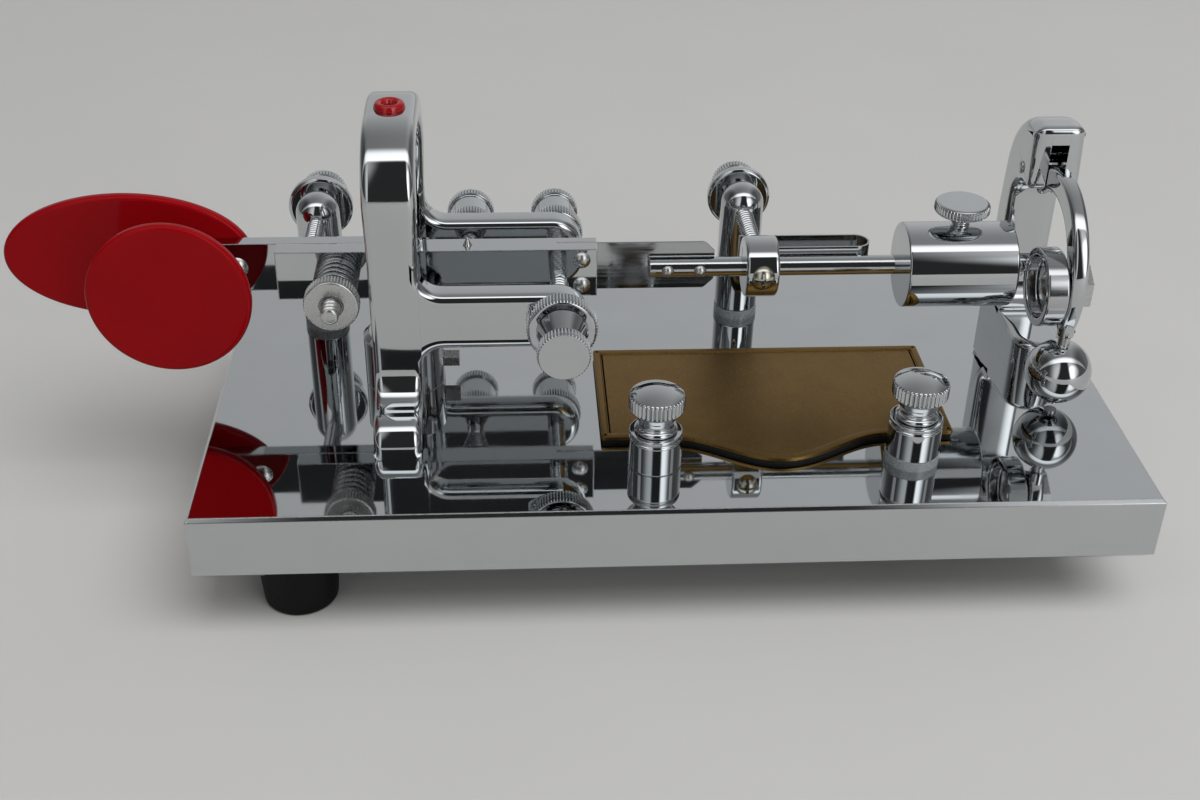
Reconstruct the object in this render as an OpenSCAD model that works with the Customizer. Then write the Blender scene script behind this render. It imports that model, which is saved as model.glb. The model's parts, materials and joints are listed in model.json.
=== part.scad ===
// Semi-automatic telegraph key: a weighted rod on a flat spring makes dots by itself,
// and a second lever on the same pivot makes dashes by hand.
// Heights are counted from the top of the base, lengths along X, the lever's own direction.

/* [Base] */
// Length of the base plate
base_l = 165.1; // [150:0.1:190]
// Width of the base plate
base_w = 88.9; // [86:0.1:110]
// Thickness of the base plate
base_t = 12.7; // [12:0.1:20]
// Chamfer round the top edge of the base
base_top_chamfer = 0.6; // [0.2:0.1:2]
// Chamfer round the bottom edge of the base
base_bottom_chamfer = 1.2; // [0.2:0.1:3]
// Height of a rubber foot
foot_h = 12.5; // [8:0.1:20]
// Radius of a rubber foot where it meets the base
foot_r = 7.4; // [6.5:0.1:9]
// Radius of a rubber foot where it meets the desk
foot_tip_r = 6.5; // [5:0.1:9]
// Distance of the foot centres from the ends of the base
foot_inset_x = 16; // [12:0.1:20]
// Distance of the two left feet from the long sides
foot_inset_y = 11.5; // [10:0.1:14]
// Radius of the screws that hold the feet
foot_screw_r = 1.5; // [1:0.1:2]

/* [Name plate] */
// Length of the bare plate
plate_l = 63.2; // [50:0.1:64]
// Distance of the plate's middle from the middle of the base
plate_x = 18.9; // [15:0.1:22]
// Gap between the plate and the binding posts
plate_clear = 1.15; // [0.6:0.05:3]
// Depth of the plate at its two sides
plate_d = 30.4; // [26:0.1:31]
// How far the plate's middle bulges towards the front
plate_bulge = 7.6; // [3:0.1:9]
// Half width of the bulge
plate_bulge_half = 20; // [14:0.1:22]
// Thickness of the plate
plate_t = 0.7; // [0.4:0.1:1.2]
// Thickness of the dark pad under the plate
plate_pad_t = 0.8; // [0.4:0.1:1.5]

/* [Frame] */
// Distance of the pivot line from the left end of the base
frame_inset = 34.2; // [30:0.1:40]
// Width of the arch along the lever
strap_w = 8.6; // [7:0.1:10]
// Thickness of the arch
strap_t = 4.8; // [4:0.1:6]
// Half width of the arch across the lever
arch_half = 17; // [16:0.1:20]
// Outer radius of the arch's rounded corners
arch_corner = 13; // [10:0.1:15]
// Height of the crown of the arch
crown_z = 54.3; // [52:0.1:60]
// Reach of the arch's feet from the lever's line
toe_y = 28.2; // [26:0.1:32]
// Height of the arch's feet
toe_h = 6.5; // [6:0.1:8]
// Radius of the curves of the arch's feet
toe_round = 5.5; // [3:0.1:5.9]
// Height of the middle of the arms
arm_z = 20.85; // [20:0.05:22]
// Height of an arm
arm_h = 9.6; // [8:0.1:11]
// Distance from the pivot line to the stop screws at the arms' ends
arm_reach = 28.85; // [26:0.05:32]
// Radius of the fillets between legs and arms
arm_fillet = 4; // [2:0.1:5]

/* [Pivot] */
// Height of the middle of both levers and of the rod
axis_z = 22.85; // [22:0.05:24]
// Radius of the trunnion shaft
shaft_r = 2; // [1.5:0.1:2.2]
// Radius of the two knuckles on the main lever
hub_r = 4.1; // [3.6:0.1:4.4]
// Height of the dash lever's eye
eye_h = 4; // [3:0.1:5]
// Gap above and below the dash lever's eye
eye_gap = 0.2; // [0.1:0.05:0.4]
// Radius of the two pivot screws
pivot_screw_r = 2.25; // [2:0.05:2.6]
// Height of the pedestal of the lower pivot
pedestal_h = 10.5; // [8:0.1:12]
// Radius of the pedestal
pedestal_r = 7.4; // [6:0.1:8]
// Outer radius of the red ring on the crown
jewel_r = 2.75; // [2.5:0.05:3]
// Radius of the hole in the red ring
jewel_hole_r = 1.1; // [0.6:0.1:1.4]
// Height of the red ring above the crown
jewel_proud = 1.2; // [0.6:0.1:1.6]
// How far the red ring sits in front of the pivot line
jewel_front = 1.2; // [0:0.1:1.4]

/* [Levers] */
// Height of both levers
lever_h = 9.4; // [8:0.1:10.4]
// Thickness of the main lever
lever_t = 4.75; // [4.4:0.05:5.5]
// Reach of the main lever to the left of the pivot
lever_left = 21.9; // [20:0.1:26]
// How far the main lever reaches beyond the stop screws
lever_tail = 6.9; // [6.5:0.05:10]
// Depth of the relief behind the main lever for the dash lever
lever_relief = 1.25; // [1:0.05:1.6]
// Thickness of the dash lever
dash_t = 2.8; // [2.2:0.1:3.4]
// How far the dash lever reaches beyond the finger piece's middle
dash_tail = 5.45; // [4.5:0.05:8]
// Gap between the two levers at rest
lever_gap = 0.1; // [0.05:0.01:0.15]
// Length of the thumb piece
thumb_l = 44.6; // [40:0.1:50]
// Height of the thumb piece
thumb_h = 24.2; // [20:0.1:26]
// How far the thumb piece's middle lies above the lever's middle
thumb_lift = 0.9; // [0:0.1:2]
// How far the thumb piece's middle lies beyond the finger piece's middle
thumb_offset = 9.65; // [8:0.05:12]
// Radius of the round finger piece
finger_r = 14.3; // [12:0.1:15]
// Distance of the finger piece's middle from the pivot
finger_reach = 39.55; // [37:0.05:41]
// Thickness of both finger pieces
paddle_t = 2.2; // [1.8:0.1:4]
// Distance between the dash lever and the finger piece
finger_standoff = 10; // [6:0.1:12]
// Radius of the distance piece behind the finger piece
finger_stem_r = 3; // [2.4:0.1:3.6]

/* [Dash tension] */
// Distance of the dash tension stud from the pivot
tension_reach = 11.1; // [10.4:0.1:13]
// Radius of the stud
tension_r = 1.7; // [1.2:0.1:1.9]
// Length of the coil spring on the stud
dash_spring_l = 8.6; // [8.2:0.1:11]
// Mean radius of the coils
dash_spring_r = 3.4; // [2.8:0.1:3.8]
// Thickness of the spring wire
spring_wire = 0.6; // [0.4:0.05:0.6]
// Turns of the spring
dash_spring_turns = 7; // [4:1:7]
// Radius of the knurled nut
dash_nut_r = 4.9; // [4:0.1:5.2]
// Thickness of the knurled nut
dash_nut_t = 3; // [2:0.1:4]
// How far the stud stands out of the nut
stud_proud = 3.6; // [2:0.1:5]

/* [Adjusting screws] */
// Radius of all adjusting screws
adj_r = 1.75; // [1.4:0.05:1.9]
// Radius of their heads
adj_head_r = 4.6; // [4:0.1:5]
// Length of their heads
adj_head_l = 3.3; // [2.5:0.1:5]
// Radius of the neck under a head
adj_neck_r = 4; // [2.4:0.1:4.2]
// Length of the neck on the arm screws
adj_neck_l = 5; // [2:0.1:6]
// Radius of the lock nut on the near arm
rest_nut_r = 6.2; // [5:0.1:7]
// Radius of the lock nuts on the far arm
stop_nut_r = 5.2; // [4.6:0.1:6]
// Thickness of the lock nuts
nut_t = 3.5; // [2:0.1:4.2]
// Gap of the dot stop screw at rest
dot_stop_gap = 0.6; // [0.55:0.05:1]
// Distance of the return spring from the pivot
return_reach = 12.4; // [11.5:0.1:14]
// Length of the return spring
return_spring_l = 6.6; // [6:0.1:8]
// Turns of the return spring
return_spring_turns = 5; // [3:1:5]

/* [Contact posts] */
// Radius of the two contact posts
post_r = 4.2; // [3.6:0.1:4.6]
// Height of the rounded tops above the contact screws
post_dome = 5.3; // [5:0.1:7]
// Distance of the dash post from the pivot
dash_post_reach = 16.7; // [16:0.1:19]
// Distance of the dash post from the lever's line
dash_post_y = 21.5; // [20:0.1:24]
// Distance of the dot post from the pivot
dot_post_reach = 65.65; // [62:0.05:70]
// Distance of the dot post from the lever's line
dot_post_y = 24.2; // [22:0.1:26]
// Radius of the lock nuts on the posts
post_nut_r = 6.2; // [5:0.1:7]
// Thickness of the lock nuts on the posts
post_nut_t = 2.5; // [2:0.1:3]
// Gap of the dash contact at rest
dash_gap = 0.75; // [0.7:0.05:1.2]
// Gap of the dot contact at rest
dot_gap = 2.2; // [2.15:0.05:3]

/* [Binding posts] */
// Distance of the left binding post from the middle of the base
binding_left_x = -3.7; // [-5:0.1:-2]
// Distance of the right binding post from the middle of the base
binding_right_x = 41.6; // [41:0.1:46]
// Distance of the binding posts from the front edge of the base
binding_inset = 14.45; // [10:0.05:16]
// Radius of a binding post
binding_r = 4.65; // [4:0.05:4.7]
// Height of a binding post up to its cap
binding_h = 6.9; // [6.5:0.1:10]
// Radius of the ribbed rim of a cap
cap_r = 4.85; // [4.4:0.05:5]
// Height of a cap
cap_h = 8.4; // [7:0.1:11]
// Thickness of the insulating washers
washer_t = 1.7; // [1:0.1:3]
// How far the insulating washers stand out under the posts
washer_rim = 0.1; // [0:0.05:0.4]

/* [Vibrator] */
// Free length of the flat main spring between lever and rod
reed_free = 9.6; // [8:0.1:12]
// Length of the main spring beside the rod
reed_lap = 12; // [11:0.1:14]
// Length of the main spring in the lever's slit
reed_grip = 7.3; // [6:0.1:8]
// Thickness of the main spring
reed_t = 0.4; // [0.3:0.05:0.5]
// Middle of the main spring in the lever's thickness
reed_y = 0.4; // [0.2:0.05:0.5]
// Radius of the rod
rod_r = 1.8; // [1.6:0.05:2]
// Offset of the rod in front of the lever's line
rod_y = -0.62; // [-0.8:0.01:-0.5]
// Radius of the collar that carries the contact spring
collar_r = 5.6; // [5:0.1:6]
// Length of the collar
collar_l = 6; // [5:0.1:7]
// Travel of the sliding weight along the rod
weight_travel = 4.5; // [2:0.1:6]
// Gap between the contact spring and the weight at the end of its travel
leaf_clear = 0.65; // [0.4:0.05:3]
// Height of the contact spring
leaf_h = 5.6; // [4:0.1:6]
// Thickness of the contact spring
leaf_t = 0.35; // [0.3:0.05:0.4]
// Distance between the two limbs of the contact spring
leaf_gap = 4.5; // [4.4:0.1:5]
// Radius of the sliding weight
weight_r = 7.85; // [6:0.05:8.5]
// Length of the sliding weight
weight_l = 20; // [16:0.1:22]
// Radius of the weight's thumb screw head
weight_head_r = 5; // [4:0.1:6]

/* [Damper] */
// Distance of the damper's plane from the right end of the base
damper_inset = 10.85; // [9:0.05:14]
// Width of the damper post
damper_w = 9.5; // [8:0.1:11]
// Front face of the damper post's upright
column_y = 13.8; // [13:0.1:15]
// Thickness of the upright
column_t = 6.4; // [5:0.1:8]
// Height of the damper post's foot
damper_foot_h = 7.5; // [6:0.1:8]
// Reach of the foot in front of the lever's line
damper_foot_y = 5; // [3:0.1:6]
// Front face of the damper post's head
head_y = 5; // [4:0.1:6]
// Underside of the damper post's head
head_z = 34.8; // [34:0.1:36]
// Radius of the rounded top of the head
head_r = 11.8; // [11:0.1:12.4]
// Place of the hinge pin behind the lever's line
pin_y = 10.2; // [9.6:0.1:10.6]
// Height of the hinge pin
pin_z = 37.3; // [37.2:0.1:38.5]
// Radius of the hinge pin
pin_r = 1.2; // [0.9:0.1:1.5]
// Thickness of the damper arm
damper_arm_t = 2.3; // [1.8:0.1:2.6]
// Inner radius of the curved damper arm
damper_arm_in = 12.2; // [12:0.1:14.2]
// Outer radius of the curved damper arm
damper_arm_out = 16.8; // [16.4:0.1:17.6]
// Radius of the damper wheel
wheel_r = 7.15; // [6:0.05:8.4]
// Width of the damper wheel
wheel_w = 3.9; // [3.5:0.1:4.5]
// Gap between rod and wheel at rest
wheel_gap = 0.3; // [0.2:0.05:0.5]
// Radius of the damper ball
ball_r = 5.95; // [5:0.05:6.2]
// Height of the ball's middle
ball_z = 7.4; // [7.3:0.1:8]
// Distance of the ball from the lever's line
ball_y = 13.8; // [13.4:0.1:14.4]

/* [Fits] */
// Running clearance of turning and sliding pieces
run_gap = 0.05; // [0.02:0.01:0.08]
// Clearance of fixed pieces in their holes
fix_gap = 0.02; // [0.01:0.01:0.04]
// Seat gap under turning nuts and beside turning wheels
seat_gap = 0.1; // [0.05:0.01:0.3]

/* [Hidden] */
$fn = 48;

// Colours of the finishes
chrome_colour = "silver";
steel_colour = "lightslategray";
red_colour = "firebrick";
jewel_colour = "crimson";
brass_colour = "darkgoldenrod";
dark_colour = "dimgray";
fibre_colour = "gainsboro";

// Small amount by which a cut passes a face
cut = 1;

// Places along the lever
frame_x = frame_inset - base_l / 2;
damper_x = base_l / 2 - damper_inset;
stop_x = frame_x + arm_reach;
return_x = frame_x + return_reach;
tension_x = frame_x - tension_reach;
dash_post_x = frame_x - dash_post_reach;
dot_post_x = frame_x + dot_post_reach;
finger_x = frame_x - finger_reach;
thumb_x = finger_x - thumb_offset;
dash_end_x = finger_x - dash_tail;
lever_end_x = stop_x + lever_tail;
rod_x = lever_end_x + reed_free;
reed_end_x = rod_x + reed_lap;

// Faces across the lever
lever_front = -lever_t / 2;
lever_back = lever_t / 2;
relief_back = lever_back - lever_relief;
dash_front = relief_back + lever_gap;
dash_back = dash_front + dash_t;
arm_out = arch_half;
arm_in = arch_half - strap_t;
leg_z = crown_z - arch_corner;
arch_flat = arch_half - arch_corner;
binding_y = base_w / 2 - binding_inset;
plate_front_y = binding_r + plate_clear - binding_y;
plate_back_y = plate_front_y + plate_d;
plate_pad_inset = 0.3;
plate_steps = 24;

// Where the whole key stands: middle of its outline on the desk
thumb_left_x = thumb_x - thumb_l / 2;
origin_x = -(thumb_left_x + base_l / 2) / 2;
desk_z = base_t + foot_h;
feet = [[foot_inset_x - base_l / 2, foot_inset_y - base_w / 2],
        [foot_inset_x - base_l / 2, base_w / 2 - foot_inset_y],
        [base_l / 2 - foot_inset_x, 0]];

// Fastenings under the base
foot_head_r = 3;
foot_head_h = 2;
foot_screw_depth = 5.5;
hole_room = 0.3;
casting_screw_r = 2.1;
casting_head_r = 3.9;
casting_head_h = 2.6;
casting_sink = 3.5;
toe_screw_y = (arch_half + toe_y) / 2;
damper_screw_in = 2.5;
damper_screw_a = damper_w / 2 - damper_foot_y + damper_screw_in;
damper_screw_b = column_y + column_t / 2;
casting_screw_places = [[frame_x, -toe_screw_y], [frame_x, toe_screw_y],
                        [damper_x, damper_screw_a], [damper_x, damper_screw_b]];
casting_cover = 1.6;
casting_screw_top = min(toe_h, damper_foot_h) - casting_cover;
head_clear = 0.4;

// Insulated side of the circuit
posts = [[dash_post_x, dash_post_y], [dot_post_x, dot_post_y]];
binding_left = [binding_left_x, -binding_y];
binding_right = [binding_right_x, -binding_y];
insulated = concat(posts, [binding_right]);
post_screw_r = 1.8;
post_head_r = 3.6;
post_head_h = 2.2;
bush_r = 3.5;
pocket_d = 4.5;
sheet_t = 1;
strap_metal_t = 0.8;
strap_path_w = 6;
strap_margin = 0.5;
pad_r = 5.5;
pocket_gap = 0.8;
pocket_z = pocket_d - base_t;
strap_y = toe_screw_y / 2;
strap_links = [[posts[0], [posts[0][0], strap_y]],
               [[posts[0][0], strap_y], [binding_right[0], strap_y]],
               [posts[1], [posts[1][0], strap_y]],
               [[binding_right[0], strap_y], binding_right]];
post_screw_depth = 8;
binding_screw_depth = 5;

// Vertical pivot
hub_proud = 0.5;
hub_bottom = axis_z - lever_h / 2 - hub_proud;
hub_top = axis_z + lever_h / 2 + hub_proud;
pivot_cone = 1.4;
pivot_play = 0.1;
shaft_below = 3.2;
pivot_reach = 3;
pivot_screw_sink = 1.2;
lower_pivot_z = hub_bottom - shaft_below;
upper_pivot_z = crown_z - strap_t - pivot_reach;
pedestal_chamfer = 1;
spigot_r = 4;
spigot_l = 5;
jewel_sink = 1.2;
jewel_seat_z = crown_z - jewel_sink;
jewel_bevel = 0.6;
set_screw_r = 1.2;
set_screw_z = 3.9;
set_head_r = 1.7;
set_head_l = 2.8;
eye_r = 3.9;
eye_clear = 0.4;
eye_root = 1;
eye_lap = 0.5;

// Small screws of the levers
clamp_r = 1;
clamp_head_r = 1.6;
clamp_head_h = 0.9;
clamp_pitch = 5;
clamp_rows = [-clamp_pitch / 2, clamp_pitch / 2];
clamp_inset = 2.8;
clamp_x = lever_end_x - clamp_inset;
paddle_screw_r = 1.4;
paddle_head_r = 2;
paddle_head_h = 1;
paddle_clear = 0.6;
paddle_bite = 1.5;
paddle_first_x = finger_x + finger_stem_r + paddle_head_r + paddle_clear;
paddle_screws_at = [paddle_first_x, paddle_first_x + 2 * paddle_head_r + paddle_clear];
stem_screw_r = 1.4;
anchor_pin_r = 0.8;
anchor_pin_proud = 1.4;
anchor_tip_r = 0.2;
stud_clear = 0.4;

// Adjusting screws, nuts and springs
nut_chamfer = 0.4;
return_spring_flare = 0.9;

// Rod and what it carries
reed_front = reed_y - reed_t / 2;
reed_back = reed_y + reed_t / 2;
reed_chamfer = 1.8;
wheel_side_gap = 0.6;
wheel_x = damper_x - damper_arm_t / 2 - wheel_side_gap - wheel_w / 2;
wheel_y = rod_y - rod_r - wheel_gap - wheel_r;
wheel_left = wheel_x - wheel_w / 2;
rod_end_gap = 0.4;
rod_end_x = damper_x - damper_arm_t / 2 - rod_end_gap;
rod_flat_room = 0.4;
weight_room = 2.6;
weight_right_x = wheel_left - weight_room;
weight_x = weight_right_x - weight_l / 2;
rivet_inset = 3.3;
rivet_pitch = 5.9;
rivets_at = [rod_x + rivet_inset, rod_x + rivet_inset + rivet_pitch];
rivet_r = 0.7;
rivet_head_r = 1.15;
rivet_head_h = 0.7;
leaf_near = rod_y + rod_r + fix_gap;
leaf_far = leaf_near + leaf_t + leaf_gap;
leaf_left = dot_post_x - collar_l / 2;
leaf_right = weight_x - weight_l / 2 - weight_travel - leaf_clear;
leaf_bend = (leaf_gap + 2 * leaf_t) / 2;
clamp_screw_r = 1.3;
clamp_screw_head_r = 2.5;
clamp_screw_head_h = 1.6;
clamp_head_sink = 0.7;
cross_l = 3;
cross_w = 0.6;
cross_floor = 0.5;
collar_chamfer = 0.5;
weight_chamfer = 0.5;
weight_neck = 2.6;
weight_head_z = weight_r + weight_neck;
weight_head_t = 2.2;
weight_head_chamfer = 0.5;
dash_tip_y = dash_back + dash_gap;
dot_tip_y = leaf_far + leaf_t + dot_gap;

// Damper
head_rise = 0.4;
head_centre = [column_y + column_t - head_r, head_z + head_rise];
slot_play = 1;
slot_depth = 3;
slot_roof = 1.8;
slot_w = damper_arm_t + slot_play;
slot_back = pin_y + slot_depth;
slot_top = head_centre[1] + head_r - slot_roof;
column_fillet = 5;
damper_eye_r = 2.5;
arm_centre_back = 0.3;
arm_centre_lift = 0.85;
arm_centre = [arm_centre_back, axis_z + arm_centre_lift];
arm_from = 45;
arm_to = 211;
axle_r = 1.5;
axle_lug_r = 3;
axle_head_r = 2.8;
axle_head_h = 1.3;
axle_nut_af = 7.6;
axle_nut_t = 2.4;
axle_proud = 0.3;
wheel_rim = 1.5;
wheel_chamfer = 0.3;
wheel_dish_r = wheel_r - wheel_rim;
wheel_dish_d = 2.2;
stud_r = 1.1;
stud_boss_r = 1.5;
stud_boss_proud = 0.25;
stud_boss_bottom = arm_centre[1] + damper_arm_out * sin(arm_to) - stud_boss_proud;
stud_boss_top = 20;
stud_tip = 0.6;

// Binding posts and their caps
cap_stud_r = 1.75;
cap_roof = 3;
cap_stud_l = cap_h - cap_roof;
cap_dome = 1.18;
cap_rim_h = 2.94;
cap_shoulder_z = cap_h - cap_dome;
cap_rim_z = cap_shoulder_z - cap_rim_h;
cap_bead_h = 1;
cap_waist_z = 1.3;
cap_neck_z = 2.2;
cap_collar_in = 1.65;
cap_waist_in = 1.95;
cap_flare_in = 0.87;
cap_collar_r = cap_r - cap_collar_in;
cap_waist_r = cap_r - cap_waist_in;
cap_flare_r = cap_r - cap_flare_in;
cap_bead = 0.1;
cap_chamfer = 0.2;
dome_steps = 6;
lip_h = 0.8;
lip_out = 0.1;

// Places every piece on the desk
module place() {
  translate([origin_x, 0, desk_z]) children();
}

// Flat shapes raised along the three directions
module along_x(length) {
  rotate([90, 0, 90]) linear_extrude(height = length, center = true) children();
}
module along_y(length) {
  rotate([90, 0, 0]) linear_extrude(height = length, center = true) children();
}

// Round bars between two places
module bar_x(r, x0, x1) {
  translate([x0, 0, 0]) rotate([0, 90, 0]) cylinder(r = r, h = x1 - x0);
}
module bar_y(r, y0, y1) {
  translate([0, y0, 0]) rotate([-90, 0, 0]) cylinder(r = r, h = y1 - y0);
}
module bar_z(r, z0, z1) {
  translate([0, 0, z0]) cylinder(r = r, h = z1 - z0);
}

// Corner filling between two walls that meet at the origin
module fillet(r) {
  difference() {
    square(r);
    translate([r, r]) circle(r);
  }
}

// Chamfer cuts along the edges of a plate's top, at the height of the origin
module edge_cuts(length, width, chamfer) {
  side = chamfer * sqrt(2);
  for (s = [-1, 1]) {
    translate([0, s * width / 2, 0]) rotate([45, 0, 0])
      cube([length + 2 * cut, side, side], center = true);
    translate([s * length / 2, 0, 0]) rotate([0, 45, 0])
      cube([side, width + 2 * cut, side], center = true);
  }
}

// Coil spring: one wire along a widening helix, with straight ends square to the seats
curl_rings = 8;
wire_sides = 6;
function coil_radius(u, r0, r1) = r0 + (r1 - r0) * u;
function coil_path(turns, length, r0, r1, wire) = concat(
  [[r0, 0, 0]],
  [for (i = [0 : turns * curl_rings])
    let (u = i / (turns * curl_rings), a = 360 * i / curl_rings, r = coil_radius(u, r0, r1))
    [r * cos(a), r * sin(a), wire + (length - 2 * wire) * u]],
  [[r1, 0, length]]);
function unit(v) = v / norm(v);
function coil_way(path, i) = unit(path[min(i + 1, len(path) - 1)] - path[max(i - 1, 0)]);
function coil_out(p, way) = let (e = unit([p[0], p[1], 0])) unit(e - (e * way) * way);
function coil_ring(path, i, wire) =
  let (way = coil_way(path, i), out = coil_out(path[i], way), side = cross(way, out))
  [for (k = [0 : wire_sides - 1])
    path[i] + wire / 2 * (cos(360 * k / wire_sides) * out + sin(360 * k / wire_sides) * side)];
function coil_gap(path, wire) = min(
  [for (i = [0 : len(path) - 1]) for (j = [i + curl_rings - 2 : 1 : len(path) - 1])
    norm(path[i] - path[j])]) - wire;
module coil(turns, length, r0, r1, wire) {
  path = coil_path(turns, length, r0, r1, wire);
  rings = len(path);
  last = (rings - 1) * wire_sides;
  echo(least_gap_of_the_coil_to_itself = coil_gap(path, wire));
  polyhedron(
    points = [for (i = [0 : rings - 1]) each coil_ring(path, i, wire)],
    faces = concat(
      [for (i = [0 : rings - 2]) for (k = [0 : wire_sides - 1]) for (half = [0, 1])
        let (a = i * wire_sides + k, b = i * wire_sides + (k + 1) % wire_sides)
        half == 0 ? [a, a + wire_sides, b + wire_sides] : [a, b + wire_sides, b]],
      [for (k = [1 : wire_sides - 2]) [0, k, k + 1]],
      [for (k = [1 : wire_sides - 2]) [last, last + k + 1, last + k]]));
}

// Adjusting screw: tip on the lever's side, head outwards, counted from its seat
module adjuster(tip, nut, neck, chamfer = nut_chamfer) {
  neck_start = nut + seat_gap * 2;
  head_start = neck_start + neck;
  head_end = head_start + adj_head_l;
  rotate_extrude() polygon([
    [0, -tip], [adj_r - chamfer, -tip], [adj_r, chamfer - tip], [adj_r, neck_start],
    [adj_neck_r, neck_start], [adj_neck_r, head_start], [adj_head_r - chamfer, head_start],
    [adj_head_r, head_start + chamfer], [adj_head_r, head_end - chamfer],
    [adj_head_r - chamfer, head_end], [0, head_end]]);
}

// Round nut with broken edges, bored for a screw
module round_nut(r, t, bore, chamfer = nut_chamfer) {
  rotate_extrude() polygon([
    [bore, seat_gap], [r - chamfer, seat_gap], [r, seat_gap + chamfer],
    [r, t - chamfer], [r - chamfer, t], [bore, t]]);
}

// Domed screw head on a face, pointing outwards
module domed_head(r, h) {
  ball = (r * r + h * h) / (2 * h);
  intersection() {
    translate([0, 0, h - ball]) sphere(ball);
    cylinder(r = r, h = h);
  }
}

// Oval drawn as an ellipse
module oval(length, height, steps = 72) {
  polygon([for (i = [0 : steps - 1]) let (a = 360 * i / steps)
    [length / 2 * cos(a), height / 2 * sin(a)]]);
}

// Strip of the insulated circuit with round pads under its three posts
module strap_shape(width, pad) {
  for (link = strap_links) {
    low = [min(link[0][0], link[1][0]), min(link[0][1], link[1][1])];
    high = [max(link[0][0], link[1][0]), max(link[0][1], link[1][1])];
    translate(low - [width / 2, width / 2]) square(high - low + [width, width]);
  }
  for (p = insulated) translate(p) circle(pad);
}

// Base and feet

module base_plate() color(chrome_colour) place() difference() {
  translate([-base_l / 2, -base_w / 2, -base_t]) cube([base_l, base_w, base_t]);
  edge_cuts(base_l, base_w, base_top_chamfer);
  translate([0, 0, -base_t]) edge_cuts(base_l, base_w, base_bottom_chamfer);
  for (p = feet) translate(p)
    bar_z(foot_screw_r + fix_gap, -base_t - cut, foot_screw_depth + hole_room - base_t);
  for (p = casting_screw_places) translate(p) {
    bar_z(casting_screw_r + fix_gap, -base_t - cut, cut);
    bar_z(casting_head_r + head_clear, -base_t - cut, casting_sink - base_t);
  }
  translate([frame_x, 0, 0]) {
    bar_z(spigot_r + fix_gap, -spigot_l, cut);
    bar_z(pivot_screw_r + fix_gap, -base_t - cut, 0);
  }
  translate([0, 0, -base_t - cut]) linear_extrude(height = pocket_d + cut)
    strap_shape(strap_path_w + 2 * pocket_gap, pad_r + pocket_gap);
  for (p = insulated) translate(p) bar_z(bush_r + fix_gap, -base_t, cut);
  translate(binding_left) {
    bar_z(post_screw_r + fix_gap, -base_t - cut, cut);
    bar_z(post_head_r + head_clear, -base_t - cut, casting_sink - base_t);
  }
}

module rubber_feet() color(dark_colour) place() for (p = feet) translate([p[0], p[1], -desk_z])
  difference() {
    cylinder(r1 = foot_tip_r, r2 = foot_r, h = foot_h);
    bar_z(foot_screw_r + fix_gap, -cut, foot_h + cut);
    bar_z(foot_head_r + fix_gap, -cut, foot_h / 2);
  }

module foot_screws() color(steel_colour) place() for (p = feet) translate([p[0], p[1], -base_t]) {
  bar_z(foot_screw_r, -foot_h / 2, foot_screw_depth);
  bar_z(foot_head_r, -foot_h / 2 - foot_head_h, -foot_h / 2);
}

// The plate's front edge swells to the front along a cosine
module plate_shape(inset = 0) {
  half = plate_l / 2 - inset;
  front = plate_front_y + inset;
  wave = [for (i = [0 : plate_steps]) let (x = plate_bulge_half * (2 * i / plate_steps - 1))
          [plate_x + x, front - plate_bulge * (1 + cos(180 * x / plate_bulge_half)) / 2]];
  polygon(concat([[plate_x - half, plate_back_y - inset], [plate_x - half, front]], wave,
                 [[plate_x + half, front], [plate_x + half, plate_back_y - inset]]));
}

module plate_backing() color("black") place() linear_extrude(height = plate_pad_t)
  plate_shape(plate_pad_inset);

module name_plate() color(brass_colour) place() translate([0, 0, plate_pad_t])
  linear_extrude(height = plate_t) plate_shape();

// Frame: arch with feet, and two arms that carry the adjusting screws

module arch_half() {
  translate([arm_in, 0]) square([strap_t, leg_z]);
  translate([arm_in, 0]) square([toe_y - arm_in, toe_h - toe_round]);
  translate([arm_in, 0]) square([toe_y - arm_in - toe_round, toe_h]);
  intersection() {
    translate([toe_y - toe_round, toe_h - toe_round]) circle(toe_round);
    square([toe_y, toe_h]);
  }
  translate([arch_half, toe_h]) fillet(min(toe_round, toe_y - arch_half - toe_round));
}

module arch_top(corner) {
  for (s = [-1, 1]) translate([s * arch_flat, 0]) circle(corner, $fn = 96);
  translate([-arch_flat, -corner]) square([2 * arch_flat, 2 * corner]);
}

module arch_profile() {
  arch_half();
  mirror([1, 0]) arch_half();
  translate([0, leg_z]) intersection() {
    difference() {
      arch_top(arch_corner);
      arch_top(arch_corner - strap_t);
    }
    translate([-arch_half, 0]) square([2 * arch_half, arch_corner]);
  }
}

module arm_profile() {
  leg = strap_w / 2;
  translate([0, arm_z - arm_h / 2]) square([arm_reach, arm_h]);
  translate([arm_reach, arm_z]) circle(arm_h / 2);
  translate([leg, arm_z + arm_h / 2]) fillet(arm_fillet);
  translate([leg, arm_z - arm_h / 2]) mirror([0, 1]) fillet(arm_fillet);
}

module frame() color(chrome_colour) place() translate([frame_x, 0, 0]) difference() {
  union() {
    along_x(strap_w) arch_profile();
    for (s = [-1, 1]) translate([0, s * (arm_in + arm_out) / 2, 0]) along_y(strap_t) arm_profile();
  }
  translate([arm_reach, 0, arm_z]) bar_y(adj_r + run_gap, -arm_out - cut, arm_out + cut);
  translate([return_reach, 0, arm_z]) bar_y(adj_r + run_gap, 0, arm_out + cut);
  bar_z(pivot_screw_r + fix_gap, leg_z, crown_z);
  translate([0, -jewel_front, 0]) bar_z(jewel_r + fix_gap, jewel_seat_z, crown_z + cut);
  for (s = [-1, 1]) translate([0, s * toe_screw_y, 0])
    bar_z(casting_screw_r + fix_gap, -cut, casting_screw_top + hole_room);
}

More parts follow.
